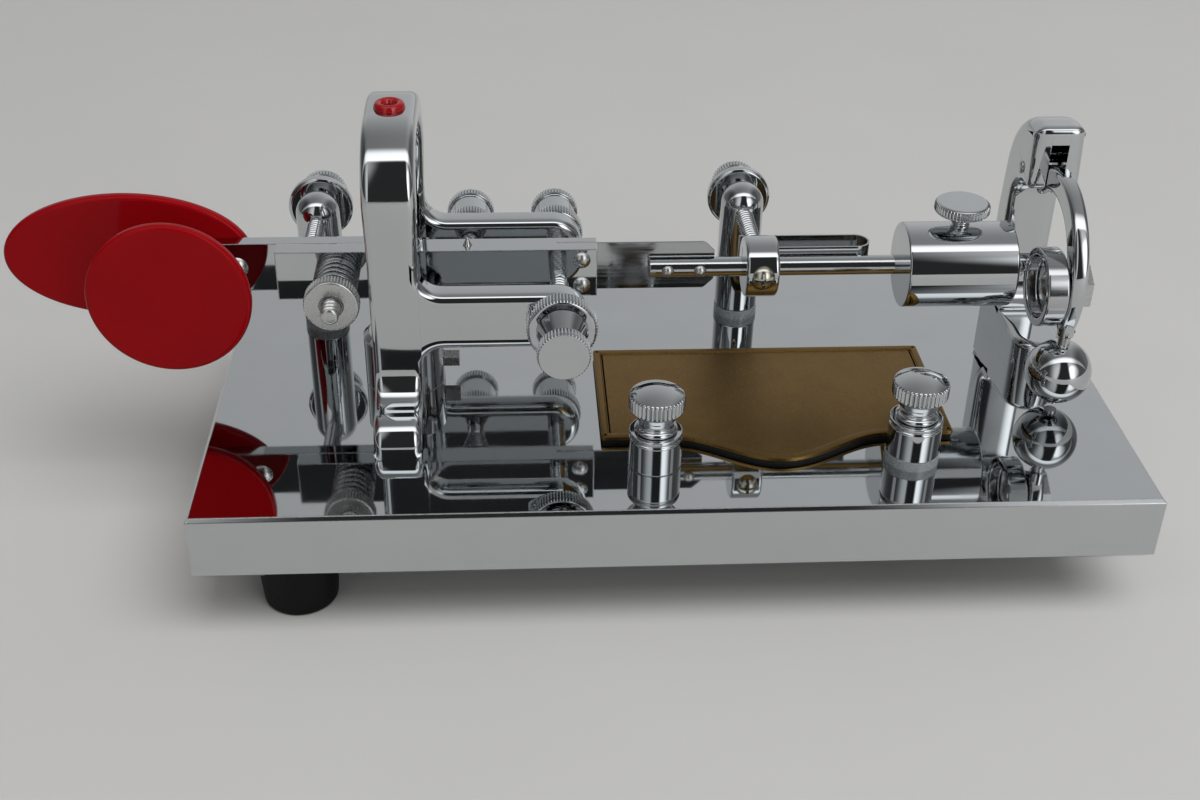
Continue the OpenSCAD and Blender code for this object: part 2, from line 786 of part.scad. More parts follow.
module casting_screws() color(steel_colour) place() for (p = casting_screw_places) translate(p) {
  bar_z(casting_screw_r, casting_sink - base_t, casting_screw_top);
  bar_z(casting_head_r, casting_sink - base_t - casting_head_h, casting_sink - base_t);
}

// Vertical pivot that both levers share

module jewel() color(jewel_colour) place() translate([frame_x, -jewel_front, 0])
  rotate_extrude() polygon([
    [jewel_hole_r, jewel_seat_z], [jewel_r, jewel_seat_z], [jewel_r, crown_z + jewel_proud / 2],
    [jewel_r - jewel_bevel, crown_z + jewel_proud], [jewel_hole_r + jewel_bevel, crown_z + jewel_proud],
    [jewel_hole_r, crown_z + jewel_proud / 2]]);

module upper_pivot_screw() color(steel_colour) place() translate([frame_x, 0, 0]) difference() {
  bar_z(pivot_screw_r, upper_pivot_z, jewel_seat_z);
  translate([0, 0, upper_pivot_z])
    cylinder(r1 = pivot_cone + pivot_play, r2 = 0, h = pivot_cone + pivot_play);
}

module lower_pivot_screw() color(steel_colour) place() translate([frame_x, 0, 0]) difference() {
  bar_z(pivot_screw_r, pivot_screw_sink - base_t, lower_pivot_z);
  translate([0, 0, lower_pivot_z - pivot_cone - pivot_play])
    cylinder(r1 = 0, r2 = pivot_cone + pivot_play, h = pivot_cone + pivot_play);
}

module trunnion_shaft() color(steel_colour) place() translate([frame_x, 0, 0]) {
  bar_z(shaft_r, lower_pivot_z + pivot_play, upper_pivot_z - pivot_play);
  translate([0, 0, upper_pivot_z - pivot_play]) cylinder(r1 = pivot_cone, r2 = 0, h = pivot_cone);
  translate([0, 0, lower_pivot_z + pivot_play - pivot_cone])
    cylinder(r1 = 0, r2 = pivot_cone, h = pivot_cone);
}

module pivot_pedestal() color(chrome_colour) place() translate([frame_x, 0, 0]) difference() {
  union() {
    rotate_extrude() polygon([
      [0, 0], [pedestal_r, 0], [pedestal_r, pedestal_h - pedestal_chamfer],
      [pedestal_r - pedestal_chamfer, pedestal_h], [0, pedestal_h]]);
    bar_z(spigot_r, -spigot_l, 0);
  }
  bar_z(pivot_screw_r + fix_gap, -spigot_l - cut, pedestal_h + cut);
  translate([0, 0, set_screw_z]) bar_x(set_screw_r + fix_gap, 0, pedestal_r + cut);
}

module pedestal_set_screw() color(steel_colour) place() translate([frame_x, 0, set_screw_z]) {
  bar_x(set_screw_r, pivot_screw_r + fix_gap, pedestal_r);
  translate([pedestal_r, 0, 0]) rotate([0, 90, 0]) cylinder(r = set_head_r, h = set_head_l, $fn = 6);
}

// Levers

module lever_box(x0, x1, y0, y1, height) {
  translate([x0, y0, axis_z - height / 2]) cube([x1 - x0, y1 - y0, height]);
}

module trunnion_lever() color(chrome_colour) place() difference() {
  union() {
    lever_box(frame_x - lever_left, frame_x, lever_front, relief_back, lever_h);
    lever_box(frame_x, lever_end_x, lever_front, lever_back, lever_h);
    translate([frame_x, 0, 0]) bar_z(hub_r, hub_bottom, hub_top);
  }
  translate([frame_x, 0, 0]) {
    bar_z(shaft_r + fix_gap, hub_bottom - cut, hub_top + cut);
    bar_z(eye_r + eye_clear, axis_z - eye_h / 2 - eye_gap, axis_z + eye_h / 2 + eye_gap);
  }
  translate([tension_x, 0, axis_z]) bar_y(tension_r + stud_clear, lever_front - cut, lever_back + cut);
  lever_box(lever_end_x - reed_grip - fix_gap, lever_end_x + cut, reed_front - fix_gap,
            reed_back + fix_gap, lever_h + 2 * cut);
  for (z = clamp_rows) translate([clamp_x, 0, axis_z + z])
    bar_y(clamp_r + fix_gap, lever_front - cut, lever_back + cut);
  translate([return_x, 0, 0]) bar_z(anchor_pin_r + fix_gap, axis_z, hub_top + cut);
}

module return_spring_pin() color(steel_colour) place() translate([return_x, 0, 0]) {
  bar_z(anchor_pin_r, axis_z, axis_z + lever_h / 2);
  translate([0, 0, axis_z + lever_h / 2])
    cylinder(r1 = anchor_pin_r, r2 = anchor_tip_r, h = anchor_pin_proud);
}

module spring_clamp_screws() color(steel_colour) place() for (z = clamp_rows)
  translate([clamp_x, lever_front, axis_z + z]) {
    bar_y(clamp_r, 0, lever_t);
    rotate([90, 0, 0]) domed_head(clamp_head_r, clamp_head_h);
  }

module dash_lever() color(chrome_colour) place() difference() {
  union() {
    lever_box(dash_end_x, frame_x - hub_r - eye_root, dash_front, dash_back, lever_h);
    lever_box(frame_x - hub_r - eye_root - eye_lap, frame_x, dash_front, eye_r, eye_h);
    translate([frame_x, 0, 0]) bar_z(eye_r, axis_z - eye_h / 2, axis_z + eye_h / 2);
  }
  translate([frame_x, 0, 0]) bar_z(shaft_r + run_gap, axis_z - eye_h, axis_z + eye_h);
  translate([tension_x, 0, axis_z]) bar_y(tension_r + fix_gap, 0, dash_back + cut);
  for (x = paddle_screws_at) translate([x, 0, axis_z])
    bar_y(paddle_screw_r + fix_gap, 0, dash_back + cut);
  translate([finger_x, 0, axis_z]) bar_y(stem_screw_r + fix_gap, 0, dash_back + cut);
}

module thumb_piece() color(red_colour) place() translate([0, dash_back, axis_z]) difference() {
  translate([thumb_x, paddle_t / 2, thumb_lift]) along_y(paddle_t) oval(thumb_l, thumb_h);
  for (x = paddle_screws_at) translate([x, 0, 0])
    bar_y(paddle_screw_r + fix_gap, -cut, paddle_bite + fix_gap);
}

module finger_piece() color(red_colour) place()
  translate([finger_x, dash_front - finger_standoff - paddle_t, axis_z]) difference() {
    bar_y(finger_r, 0, paddle_t);
    bar_y(stem_screw_r + fix_gap, paddle_t / 2, paddle_t + cut);
  }

module finger_stem() color(chrome_colour) place() translate([finger_x, dash_front, axis_z]) {
  bar_y(finger_stem_r, -finger_standoff, 0);
  bar_y(stem_screw_r, -finger_standoff - paddle_t / 2, -finger_standoff);
  bar_y(stem_screw_r, 0, dash_t);
}

module paddle_screws() color(steel_colour) place() for (x = paddle_screws_at)
  translate([x, dash_front, axis_z]) {
    bar_y(paddle_screw_r, 0, dash_t + paddle_bite);
    rotate([90, 0, 0]) domed_head(paddle_head_r, paddle_head_h);
  }

// Dash tension: a stud in the dash lever pulls it against the main lever

dash_nut_y = lever_front - dash_spring_l - 2 * seat_gap;

module dash_tension_stud() color(steel_colour) place() translate([tension_x, 0, axis_z])
  bar_y(tension_r, dash_nut_y - dash_nut_t - stud_proud, dash_back);

module dash_spring() color(steel_colour) place() translate([tension_x, lever_front - seat_gap, axis_z])
  rotate([90, 0, 0]) coil(dash_spring_turns, dash_spring_l, dash_spring_r, dash_spring_r, spring_wire);

module dash_nut() color(chrome_colour) place() translate([tension_x, dash_nut_y + seat_gap, axis_z])
  rotate([90, 0, 0]) round_nut(dash_nut_r, dash_nut_t, tension_r + run_gap);

// Adjusting screws on the two arms

module near_adjuster() {
  translate([stop_x, -arm_out, arm_z]) rotate([90, 0, 0]) children();
}
module far_adjuster(x) {
  translate([x, arm_out, arm_z]) rotate([-90, 0, 0]) children();
}

module rest_stop_screw() color(chrome_colour) place() near_adjuster()
  adjuster(arm_out + lever_front - seat_gap, nut_t, adj_neck_l);
module rest_stop_nut() color(chrome_colour) place() near_adjuster()
  round_nut(rest_nut_r, nut_t, adj_r + run_gap);
module dot_stop_screw() color(chrome_colour) place() far_adjuster(stop_x)
  adjuster(arm_out - lever_back - dot_stop_gap, nut_t, adj_neck_l);
module dot_stop_nut() color(chrome_colour) place() far_adjuster(stop_x)
  round_nut(stop_nut_r, nut_t, adj_r + run_gap);
module return_screw() color(chrome_colour) place() far_adjuster(return_x)
  adjuster(arm_out - lever_back - return_spring_l - 2 * seat_gap, nut_t, adj_neck_l);
module return_nut() color(chrome_colour) place() far_adjuster(return_x)
  round_nut(stop_nut_r, nut_t, adj_r + run_gap);

module return_spring() color(steel_colour) place() translate([return_x, lever_back + seat_gap, arm_z])
  rotate([-90, 0, 0]) coil(return_spring_turns, return_spring_l, adj_r + return_spring_flare,
                           adj_r - spring_wire / 2, spring_wire);

// Vibrator: flat spring, rod, contact spring and sliding weight

module main_spring() color(steel_colour) place() difference() {
  left = lever_end_x - reed_grip;
  low = axis_z - lever_h / 2;
  high = axis_z + lever_h / 2;
  translate([0, reed_y, 0]) along_y(reed_t) polygon([
    [left, low], [reed_end_x - reed_chamfer, low], [reed_end_x, low + reed_chamfer],
    [reed_end_x, high - reed_chamfer], [reed_end_x - reed_chamfer, high], [left, high]]);
  for (z = clamp_rows) translate([clamp_x, 0, axis_z + z])
    bar_y(clamp_r + fix_gap, reed_front - cut, reed_back + cut);
  for (x = rivets_at) translate([x, 0, axis_z])
    bar_y(rivet_r + run_gap, reed_front - cut, reed_back + cut);
}

module vibrating_rod() color(chrome_colour) place() difference() {
  translate([0, rod_y, axis_z]) bar_x(rod_r, rod_x, rod_end_x);
  translate([rod_x - cut, reed_front - run_gap, axis_z - rod_r - cut])
    cube([reed_lap + cut + rod_flat_room, 2 * rod_r, 2 * (rod_r + cut)]);
  for (x = rivets_at) translate([x, 0, axis_z])
    bar_y(rivet_r + fix_gap, rod_y - rod_r - cut, rod_y + rod_r);
}

module rod_rivets() color(steel_colour) place() for (x = rivets_at) translate([x, 0, axis_z]) {
  bar_y(rivet_r, rod_y - rod_r, reed_back + run_gap);
  translate([0, rod_y - rod_r, 0]) rotate([90, 0, 0]) domed_head(rivet_head_r, rivet_head_h);
  translate([0, reed_back + run_gap, 0]) rotate([-90, 0, 0]) domed_head(rivet_head_r, rivet_head_h);
}

module contact_clamp() color(chrome_colour) place() difference() {
  half = collar_l / 2;
  translate([dot_post_x, rod_y, axis_z]) difference() {
    rotate([0, 90, 0]) rotate_extrude() polygon([
      [rod_r + fix_gap, -half], [collar_r - collar_chamfer, -half], [collar_r, collar_chamfer - half],
      [collar_r, half - collar_chamfer], [collar_r - collar_chamfer, half], [rod_r + fix_gap, half]]);
    bar_y(clamp_screw_r + fix_gap, -collar_r - cut, 0);
    translate([0, -collar_r, 0]) bar_y(clamp_screw_head_r + head_clear, -cut, clamp_head_sink);
  }
  translate([leaf_left - cut, 0, axis_z - leaf_h / 2 - fix_gap])
    cube([collar_l + 2 * cut, leaf_near + leaf_t + fix_gap, leaf_h + 2 * fix_gap]);
}

module clamp_screw() color("burlywood") place() translate([dot_post_x, rod_y, axis_z]) difference() {
  union() {
    bar_y(clamp_screw_r, clamp_head_sink - collar_r, -rod_r - fix_gap);
    translate([0, clamp_head_sink - collar_r, 0]) rotate([90, 0, 0])
      domed_head(clamp_screw_head_r, clamp_screw_head_h);
  }
  for (turn = [0, 90]) rotate([0, turn, 0])
    translate([-cross_l / 2, clamp_head_sink - collar_r - clamp_screw_head_h - cut, -cross_w / 2])
      cube([cross_l, clamp_screw_head_h - cross_floor + cut, cross_w]);
}

module contact_spring() color(steel_colour) place() translate([0, 0, axis_z - leaf_h / 2])
  linear_extrude(height = leaf_h) {
    straight = leaf_right - leaf_bend - leaf_left;
    for (y = [leaf_near, leaf_far]) translate([leaf_left, y]) square([straight, leaf_t]);
    translate([leaf_right - leaf_bend, leaf_near + leaf_bend]) intersection() {
      difference() {
        circle(leaf_bend);
        circle(leaf_bend - leaf_t);
      }
      translate([0, -leaf_bend]) square(2 * leaf_bend);
    }
  }

module speed_weight() color(chrome_colour) place() translate([weight_x, rod_y, axis_z]) difference() {
  half = weight_l / 2;
  rotate([0, 90, 0]) rotate_extrude() polygon([
    [rod_r + run_gap, -half], [weight_r - weight_chamfer, -half], [weight_r, weight_chamfer - half],
    [weight_r, half - weight_chamfer], [weight_r - weight_chamfer, half], [rod_r + run_gap, half]]);
  bar_z(adj_r + run_gap, 0, weight_r + cut);
}

module weight_screw() color(chrome_colour) place() translate([weight_x, rod_y, axis_z]) rotate_extrude() {
  tip = rod_r + 2 * seat_gap;
  top = weight_head_z + weight_head_t;
  face_r = weight_head_r - weight_head_chamfer;
  polygon([[0, tip], [adj_r, tip], [adj_r, weight_head_z], [face_r, weight_head_z],
           [weight_head_r, weight_head_z + weight_head_chamfer],
           [weight_head_r, top - weight_head_chamfer], [face_r, top], [0, top]]);
}

// Damper: a wheel on a curved arm that hangs from a bent post and stills the rod

module damper_profile() {
  back = column_y + column_t;
  translate([column_y, 0]) square([column_t, head_centre[1]]);
  translate([column_y, damper_foot_h]) mirror([1, 0]) fillet(column_fillet);
  translate([column_y, head_z]) mirror([1, 0]) mirror([0, 1]) fillet(column_fillet);
  intersection() {
    translate(head_centre) circle(head_r, $fn = 96);
    translate([head_y, head_z]) square([back - head_y, 2 * head_r]);
  }
}

module damper_post() color(chrome_colour) place() translate([damper_x, 0, 0]) difference() {
  nose_y = damper_w / 2 - damper_foot_y;
  union() {
    along_x(damper_w) damper_profile();
    linear_extrude(height = damper_foot_h) {
      translate([0, nose_y]) circle(damper_w / 2);
      translate([-damper_w / 2, nose_y]) square([damper_w, column_y + column_t - nose_y]);
    }
  }
  translate([-slot_w / 2, 0, head_z - cut]) cube([slot_w, slot_back, slot_top - head_z + cut]);
  translate([0, pin_y, pin_z]) bar_x(pin_r + fix_gap, -damper_w / 2 - cut, damper_w / 2 + cut);
  for (y = [damper_screw_a, damper_screw_b]) translate([0, y, 0])
    bar_z(casting_screw_r + fix_gap, -cut, casting_screw_top + hole_room);
}

module damper_pin() color(steel_colour) place() translate([damper_x, pin_y, pin_z])
  bar_x(pin_r, -damper_w / 2, damper_w / 2);

module arm_sector(angle_from, angle_to, reach) {
  steps = 6;
  polygon(concat([[0, 0]], [for (i = [0 : steps])
    let (a = angle_from + (angle_to - angle_from) * i / steps) reach * [cos(a), sin(a)]]));
}

module damper_arm() color(chrome_colour) place() translate([damper_x, 0, 0]) difference() {
  union() {
    along_x(damper_arm_t) {
      translate(arm_centre) intersection() {
        difference() {
          circle(damper_arm_out, $fn = 96);
          circle(damper_arm_in, $fn = 96);
        }
        arm_sector(arm_from, arm_to, 2 * damper_arm_out);
      }
      translate([pin_y, pin_z]) circle(damper_eye_r);
      translate([wheel_y, axis_z]) circle(axle_lug_r);
      translate([arm_centre[0] - (damper_arm_in + damper_arm_out) / 2, axis_z - axle_lug_r])
        square([wheel_y - arm_centre[0] + (damper_arm_in + damper_arm_out) / 2, 2 * axle_lug_r]);
    }
    translate([0, -ball_y, 0]) bar_z(stud_boss_r, stud_boss_bottom, stud_boss_top);
  }
  translate([0, pin_y, pin_z]) bar_x(pin_r + run_gap, -damper_arm_t, damper_arm_t);
  translate([0, wheel_y, axis_z]) bar_x(axle_r + fix_gap, -damper_arm_t, damper_arm_t);
}

module damper_wheel() color(chrome_colour) place() translate([wheel_left, wheel_y, axis_z])
  rotate([0, 90, 0]) rotate_extrude() polygon([
    [axle_r + run_gap, wheel_dish_d], [wheel_dish_r, wheel_dish_d], [wheel_dish_r, 0],
    [wheel_r - wheel_chamfer, 0], [wheel_r, wheel_chamfer], [wheel_r, wheel_w - wheel_chamfer],
    [wheel_r - wheel_chamfer, wheel_w], [axle_r + run_gap, wheel_w]]);

module axle_screw() color(steel_colour) place() translate([0, wheel_y, axis_z]) {
  head_x = wheel_left + wheel_dish_d - seat_gap;
  bar_x(axle_r, head_x, damper_x + damper_arm_t / 2 + axle_nut_t + axle_proud);
  translate([head_x, 0, 0]) rotate([0, -90, 0]) domed_head(axle_head_r, axle_head_h);
}

module axle_nut() color(steel_colour) place() translate([damper_x + damper_arm_t / 2, wheel_y, axis_z])
  rotate([0, 90, 0]) difference() {
    cylinder(r = axle_nut_af / sqrt(3), h = axle_nut_t, $fn = 6);
    bar_z(axle_r + fix_gap, -cut, axle_nut_t + cut);
  }

module ball_stud() color(steel_colour) place() translate([damper_x, -ball_y, 0])
  bar_z(stud_r, ball_z - ball_r - stud_tip, stud_boss_bottom);

module damper_ball() color(chrome_colour) place() translate([damper_x, -ball_y, ball_z]) difference() {
  sphere(ball_r);
  bar_z(stud_r + fix_gap, -ball_r - cut, ball_r + cut);
}

// Contact posts with their screws

module contact_posts() color(chrome_colour) place() for (p = posts) translate(p) difference() {
  union() {
    bar_z(post_r, washer_t, axis_z + post_dome - post_r);
    translate([0, 0, axis_z + post_dome - post_r]) sphere(post_r);
  }
  translate([0, 0, axis_z]) bar_y(adj_r + run_gap, -post_r - cut, post_r + cut);
  bar_z(post_screw_r + fix_gap, washer_t - cut, washer_t + post_screw_depth + hole_room);
}

module post_seat(p) {
  translate([p[0], p[1] + post_r, axis_z]) rotate([-90, 0, 0]) children();
}
module dash_contact_screw() color(chrome_colour) place() post_seat(posts[0])
  adjuster(posts[0][1] + post_r - dash_tip_y, post_nut_t, adj_neck_l / 2);
module dash_contact_nut() color(chrome_colour) place() post_seat(posts[0])
  round_nut(post_nut_r, post_nut_t, adj_r + run_gap);
module dot_contact_screw() color(chrome_colour) place() post_seat(posts[1])
  adjuster(posts[1][1] + post_r - dot_tip_y, post_nut_t, adj_neck_l / 2);
module dot_contact_nut() color(chrome_colour) place() post_seat(posts[1])
  round_nut(post_nut_r, post_nut_t, adj_r + run_gap);

// Binding posts

module binding_post(z) {
  translate([0, 0, z]) difference() {
    union() {
      rotate_extrude() polygon([
        [0, 0], [binding_r, 0], [binding_r, binding_h - lip_h],
        [binding_r + lip_out, binding_h - lip_h], [binding_r + lip_out, binding_h - lip_h / 2],
        [binding_r - lip_h / 2, binding_h], [0, binding_h]]);
      bar_z(cap_stud_r, binding_h, binding_h + cap_stud_l);
    }
    bar_z(post_screw_r + fix_gap, -cut, binding_screw_depth + hole_room);
  }
}

module binding_posts() color(chrome_colour) place() {
  translate(binding_left) binding_post(0);
  translate(binding_right) binding_post(washer_t);
}

// Cap: collar, flared neck, ribbed rim and dome, bored for the stud
module binding_cap(z) {
  bore = cap_stud_r + run_gap;
  translate([0, 0, z + binding_h + seat_gap]) rotate_extrude() polygon(concat(
    [[bore, 0], [cap_collar_r, 0], [cap_collar_r + cap_bead, cap_bead_h / 2], [cap_collar_r, cap_bead_h],
     [cap_waist_r, cap_waist_z], [cap_collar_r, cap_neck_z], [cap_flare_r, cap_rim_z],
     [cap_r - cap_chamfer, cap_rim_z], [cap_r, cap_rim_z + cap_chamfer],
     [cap_r, cap_shoulder_z - cap_chamfer], [cap_r - cap_chamfer, cap_shoulder_z]],
    [for (i = [1 : dome_steps]) let (a = 90 * i / dome_steps)
      [(cap_r - 2 * cap_chamfer) * cos(a), cap_shoulder_z + cap_dome * sin(a)]],
    [[0, cap_stud_l + hole_room], [bore, cap_stud_l + hole_room]]));
}

module binding_cap_left() color(chrome_colour) place() translate(binding_left) binding_cap(0);
module binding_cap_right() color(chrome_colour) place() translate(binding_right) binding_cap(washer_t);

// Insulated side of the circuit

module washer(r) {
  difference() {
    bar_z(r, 0, washer_t);
    bar_z(post_screw_r + fix_gap, -cut, washer_t + cut);
  }
}

module insulating_washers() color(fibre_colour) place() {
  for (p = posts) translate(p) washer(post_r + washer_rim);
  translate(binding_right) washer(binding_r + washer_rim);
}

module insulating_bushes() color(fibre_colour) place() for (p = insulated) translate(p) difference() {
  bar_z(bush_r, pocket_z, 0);
  bar_z(post_screw_r + fix_gap, pocket_z - cut, cut);
}

module strap_insulator() color("saddlebrown") place() difference() {
  translate([0, 0, pocket_z - sheet_t]) linear_extrude(height = sheet_t)
    strap_shape(strap_path_w, pad_r);
  for (p = insulated) translate(p) bar_z(post_screw_r + fix_gap, -base_t, 0);
}

module contact_strap() color(brass_colour) place() difference() {
  translate([0, 0, pocket_z - sheet_t - strap_metal_t]) linear_extrude(height = strap_metal_t)
    strap_shape(strap_path_w - 2 * strap_margin, pad_r - strap_margin);
  for (p = insulated) translate(p) bar_z(post_screw_r + fix_gap, -base_t, 0);
}

// Screw from below into a post, with its head seat and tip given
module post_screw(seat, tip) {
  bar_z(post_screw_r, seat, tip);
  bar_z(post_head_r, seat - post_head_h, seat);
}

module post_screws() color(steel_colour) place() {
  seat = pocket_z - sheet_t - strap_metal_t;
  for (p = posts) translate(p) post_screw(seat, washer_t + post_screw_depth);
  translate(binding_right) post_screw(seat, washer_t + binding_screw_depth);
  translate(binding_left) post_screw(casting_sink - base_t, binding_screw_depth);
}

base_plate();
rubber_feet();
foot_screws();
name_plate();
plate_backing();
frame();
casting_screws();
jewel();
upper_pivot_screw();
lower_pivot_screw();
pivot_pedestal();
pedestal_set_screw();
trunnion_lever();
trunnion_shaft();
return_spring_pin();
spring_clamp_screws();
dash_lever();
thumb_piece();
finger_piece();
finger_stem();
paddle_screws();
dash_tension_stud();
dash_spring();
dash_nut();
rest_stop_screw();
rest_stop_nut();
dot_stop_screw();
dot_stop_nut();
return_screw();
return_nut();
return_spring();
main_spring();
vibrating_rod();
rod_rivets();
contact_clamp();
clamp_screw();
contact_spring();
speed_weight();
weight_screw();
damper_post();
damper_pin();
damper_arm();
damper_wheel();
axle_screw();
axle_nut();
ball_stud();
damper_ball();
contact_posts();
dash_contact_screw();
dash_contact_nut();
dot_contact_screw();
dot_contact_nut();
binding_posts();
binding_cap_left();
binding_cap_right();
insulating_washers();
insulating_bushes();
post_screws();
contact_strap();
strap_insulator();
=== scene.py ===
# %% [markdown]
# A semi-automatic telegraph key stands on a heavy plated base. Two levers share one upright pivot,
# a sprung rod makes the dots by itself, and a small wheel stills the rod again.
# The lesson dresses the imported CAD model: shapes that the eye reads closely are drawn anew as
# numpy surfaces, and the plain bars and hidden pieces keep their CAD mesh and get a finish.

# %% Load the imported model
import json
import math
import bmesh
import bpy
import numpy as np
from mathutils import Matrix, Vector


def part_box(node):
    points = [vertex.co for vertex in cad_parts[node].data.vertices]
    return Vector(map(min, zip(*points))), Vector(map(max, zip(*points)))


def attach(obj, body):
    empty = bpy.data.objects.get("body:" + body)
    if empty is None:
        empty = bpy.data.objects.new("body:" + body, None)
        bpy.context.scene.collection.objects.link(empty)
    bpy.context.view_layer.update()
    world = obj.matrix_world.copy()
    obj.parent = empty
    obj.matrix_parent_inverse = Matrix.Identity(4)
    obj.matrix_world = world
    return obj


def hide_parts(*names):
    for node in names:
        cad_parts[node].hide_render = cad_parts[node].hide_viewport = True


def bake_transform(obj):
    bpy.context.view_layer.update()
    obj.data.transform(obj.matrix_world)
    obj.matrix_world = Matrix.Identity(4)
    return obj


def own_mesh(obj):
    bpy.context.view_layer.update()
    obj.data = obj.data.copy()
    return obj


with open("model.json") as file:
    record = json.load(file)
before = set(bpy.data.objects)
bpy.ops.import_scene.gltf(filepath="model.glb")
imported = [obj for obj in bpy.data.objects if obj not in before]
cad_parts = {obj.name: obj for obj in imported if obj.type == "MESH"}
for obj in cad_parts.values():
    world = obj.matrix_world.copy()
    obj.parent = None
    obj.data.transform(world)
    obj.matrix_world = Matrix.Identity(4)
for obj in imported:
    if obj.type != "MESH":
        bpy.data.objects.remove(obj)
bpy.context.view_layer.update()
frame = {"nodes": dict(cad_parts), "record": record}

# %% [markdown]
# All sizes are thought of in millimetres, counted from the middle of the base's top face, with X along
# the lever, Y away from the operator and Z up. One function asks the CAD where a node lies, so that each
# new piece sits in the very place of the solid that it stands for.

# %% Millimetres from the middle of the base
base_low, base_high = (np.array(corner) * 1000 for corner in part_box("base_plate"))
ORIGIN = np.array([*(base_low[:2] + base_high[:2]) / 2, base_high[2]])
AXES = {"X": np.eye(3)[0], "Y": np.eye(3)[1], "Z": np.eye(3)[2]}


def span(node):
    """Lowest and highest corner of a CAD node, in millimetres from the middle of the base's top."""
    low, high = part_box(node)
    return np.array(low) * 1000 - ORIGIN, np.array(high) * 1000 - ORIGIN


def metres(point):
    """A point in millimetres from the middle of the base's top, as metres in the CAD frame."""
    return tuple((np.asarray(point, float) + ORIGIN) / 1000)


print("base", np.round(base_high - base_low, 2), "mm, origin", np.round(ORIGIN, 2))

# %% [markdown]
# A finish is a node tree. One small function adds a node, sets its properties and fills its sockets,
# and one turns the sRGB colours that a designer writes into the linear ones that light obeys.
# Patterns are noise, so two more functions word how a noise value becomes a range or a pair of tones.

# %% Colours and nodes
def colour(code):
    """sRGB hex to linear RGBA: divide by 12.92 near black, else raise (c + 0.055) / 1.055 to 2.4."""
    c = np.array([int(code[i:i + 2], 16) for i in (1, 3, 5)]) / 255
    return (*np.where(c <= 0.04045, c / 12.92, ((c + 0.055) / 1.055) ** 2.4), 1.0)


def add(tree, kind, sockets=(), out=0, **settings):
    """Adds one node with its settings. A socket, by name or number, is linked where its value is another
    node's output and set otherwise; out picks the output that is handed on."""
    node = tree.nodes.new("ShaderNode" + kind)
    for key, value in settings.items():
        setattr(node, key, value)
    for key, value in dict(sockets).items():
        if isinstance(value, bpy.types.NodeSocket):
            tree.links.new(value, node.inputs[key])
        else:
            node.inputs[key].default_value = value
    return node.outputs[out] if node.outputs else node


def grain(place, size_mm, detail=2.0):
    """Sockets of a noise with features of size_mm: Object coordinates are metres, so Scale is 1000 / mm."""
    return {"Vector": place, "Scale": 1000 / size_mm, "Detail": detail}


def spread(value, low, high, start=0.3, stop=0.7):
    """Sockets that map a value from start..stop to low..high; a noise mostly keeps between 0.3 and 0.7."""
    return {"Value": value, "From Min": start, "From Max": stop, "To Min": low, "To Max": high}


def tones(share, one, two):
    """Sockets of a mix between two hex colours."""
    return {0: share, 6: colour(one), 7: colour(two)}


def finish(name, pattern, **sockets):
    """A named material: plain values go to the shader's sockets, pattern(tree, place) gives linked ones."""
    material = bpy.data.materials.new(name)
    material.use_nodes = True
    tree = material.node_tree
    tree.nodes.clear()
    place = add(tree, "TexCoord", out="Object")
    values = {key.replace("_", " "): value for key, value in sockets.items()}
    shader = add(tree, "BsdfPrincipled", values | pattern(tree, place))
    add(tree, "OutputMaterial", {"Surface": shader})
    return material


print("mid grey in linear light", round(colour("#808080")[0], 3))


# %% [markdown]
# Chromium plate over polished steel is a near-perfect mirror with a cool cast. What the eye picks up is not
# its own colour but small faults: a breath of haze left by fingers, and the slow ripple of hand polishing.
# The haze drives the roughness, and the ripple is a very weak bump about a centimetre long. A Bevel node
# breaks the sharp edges of the plain bars, which keep their CAD mesh.

# %% Chromium plate
def mirror_plate(haze, ripple_mm, ripple, edge_mm=0.0):
    """Roughness from smudges about 9 mm across, a bump of ripple_mm, and where wanted softly broken edges."""
    def pattern(tree, place):
        smudge = add(tree, "TexNoise", grain(place, 9, 4))
        wave = add(tree, "TexNoise", grain(place, ripple_mm, 1))
        bump = {"Height": wave, "Strength": ripple, "Distance": 0.0002}
        if edge_mm:
            bump["Normal"] = add(tree, "Bevel", {"Radius": edge_mm / 1000}, samples=6)
        return {"Roughness": add(tree, "MapRange", spread(smudge, haze * 0.5, haze * 1.6)),
                "Base Color": add(tree, "Mix", tones(smudge, "#c2c5c7", "#c9cccd"), 2, data_type="RGBA"),
                "Normal": add(tree, "Bump", bump)}
    return pattern


CHROME = finish("chromium_plate_polished", mirror_plate(0.035, 14, 0.012), Metallic=1.0)
BAR_CHROME = finish("chromium_plate_on_bar", mirror_plate(0.035, 14, 0.012, 0.35), Metallic=1.0)
CAST_CHROME = finish("chromium_plate_on_casting", mirror_plate(0.05, 7, 0.05), Metallic=1.0)
print("chromium", CHROME.name, BAR_CHROME.name, CAST_CHROME.name)

# %% [markdown]
# Turned nickel is satin: fine tool marks blur what it mirrors. Spring wire is drawn and darker, and the
# flat spring is rolled strip with streaks along its length. The marks are coarser than real ones, so that
# they show.

# %% Nickel, wire and strip
def turned(tree, place):
    """Turning marks 0.25 mm wide, where real ones are about 0.05 mm."""
    marks = add(tree, "TexNoise", grain(place, 0.25))
    return {"Roughness": add(tree, "MapRange", spread(marks, 0.25, 0.31)),
            "Base Color": add(tree, "Mix", tones(marks, "#c4c5c3", "#cbccca"), 2, data_type="RGBA"),
            "Normal": add(tree, "Bump", {"Height": marks, "Strength": 0.02, "Distance": 0.00005})}


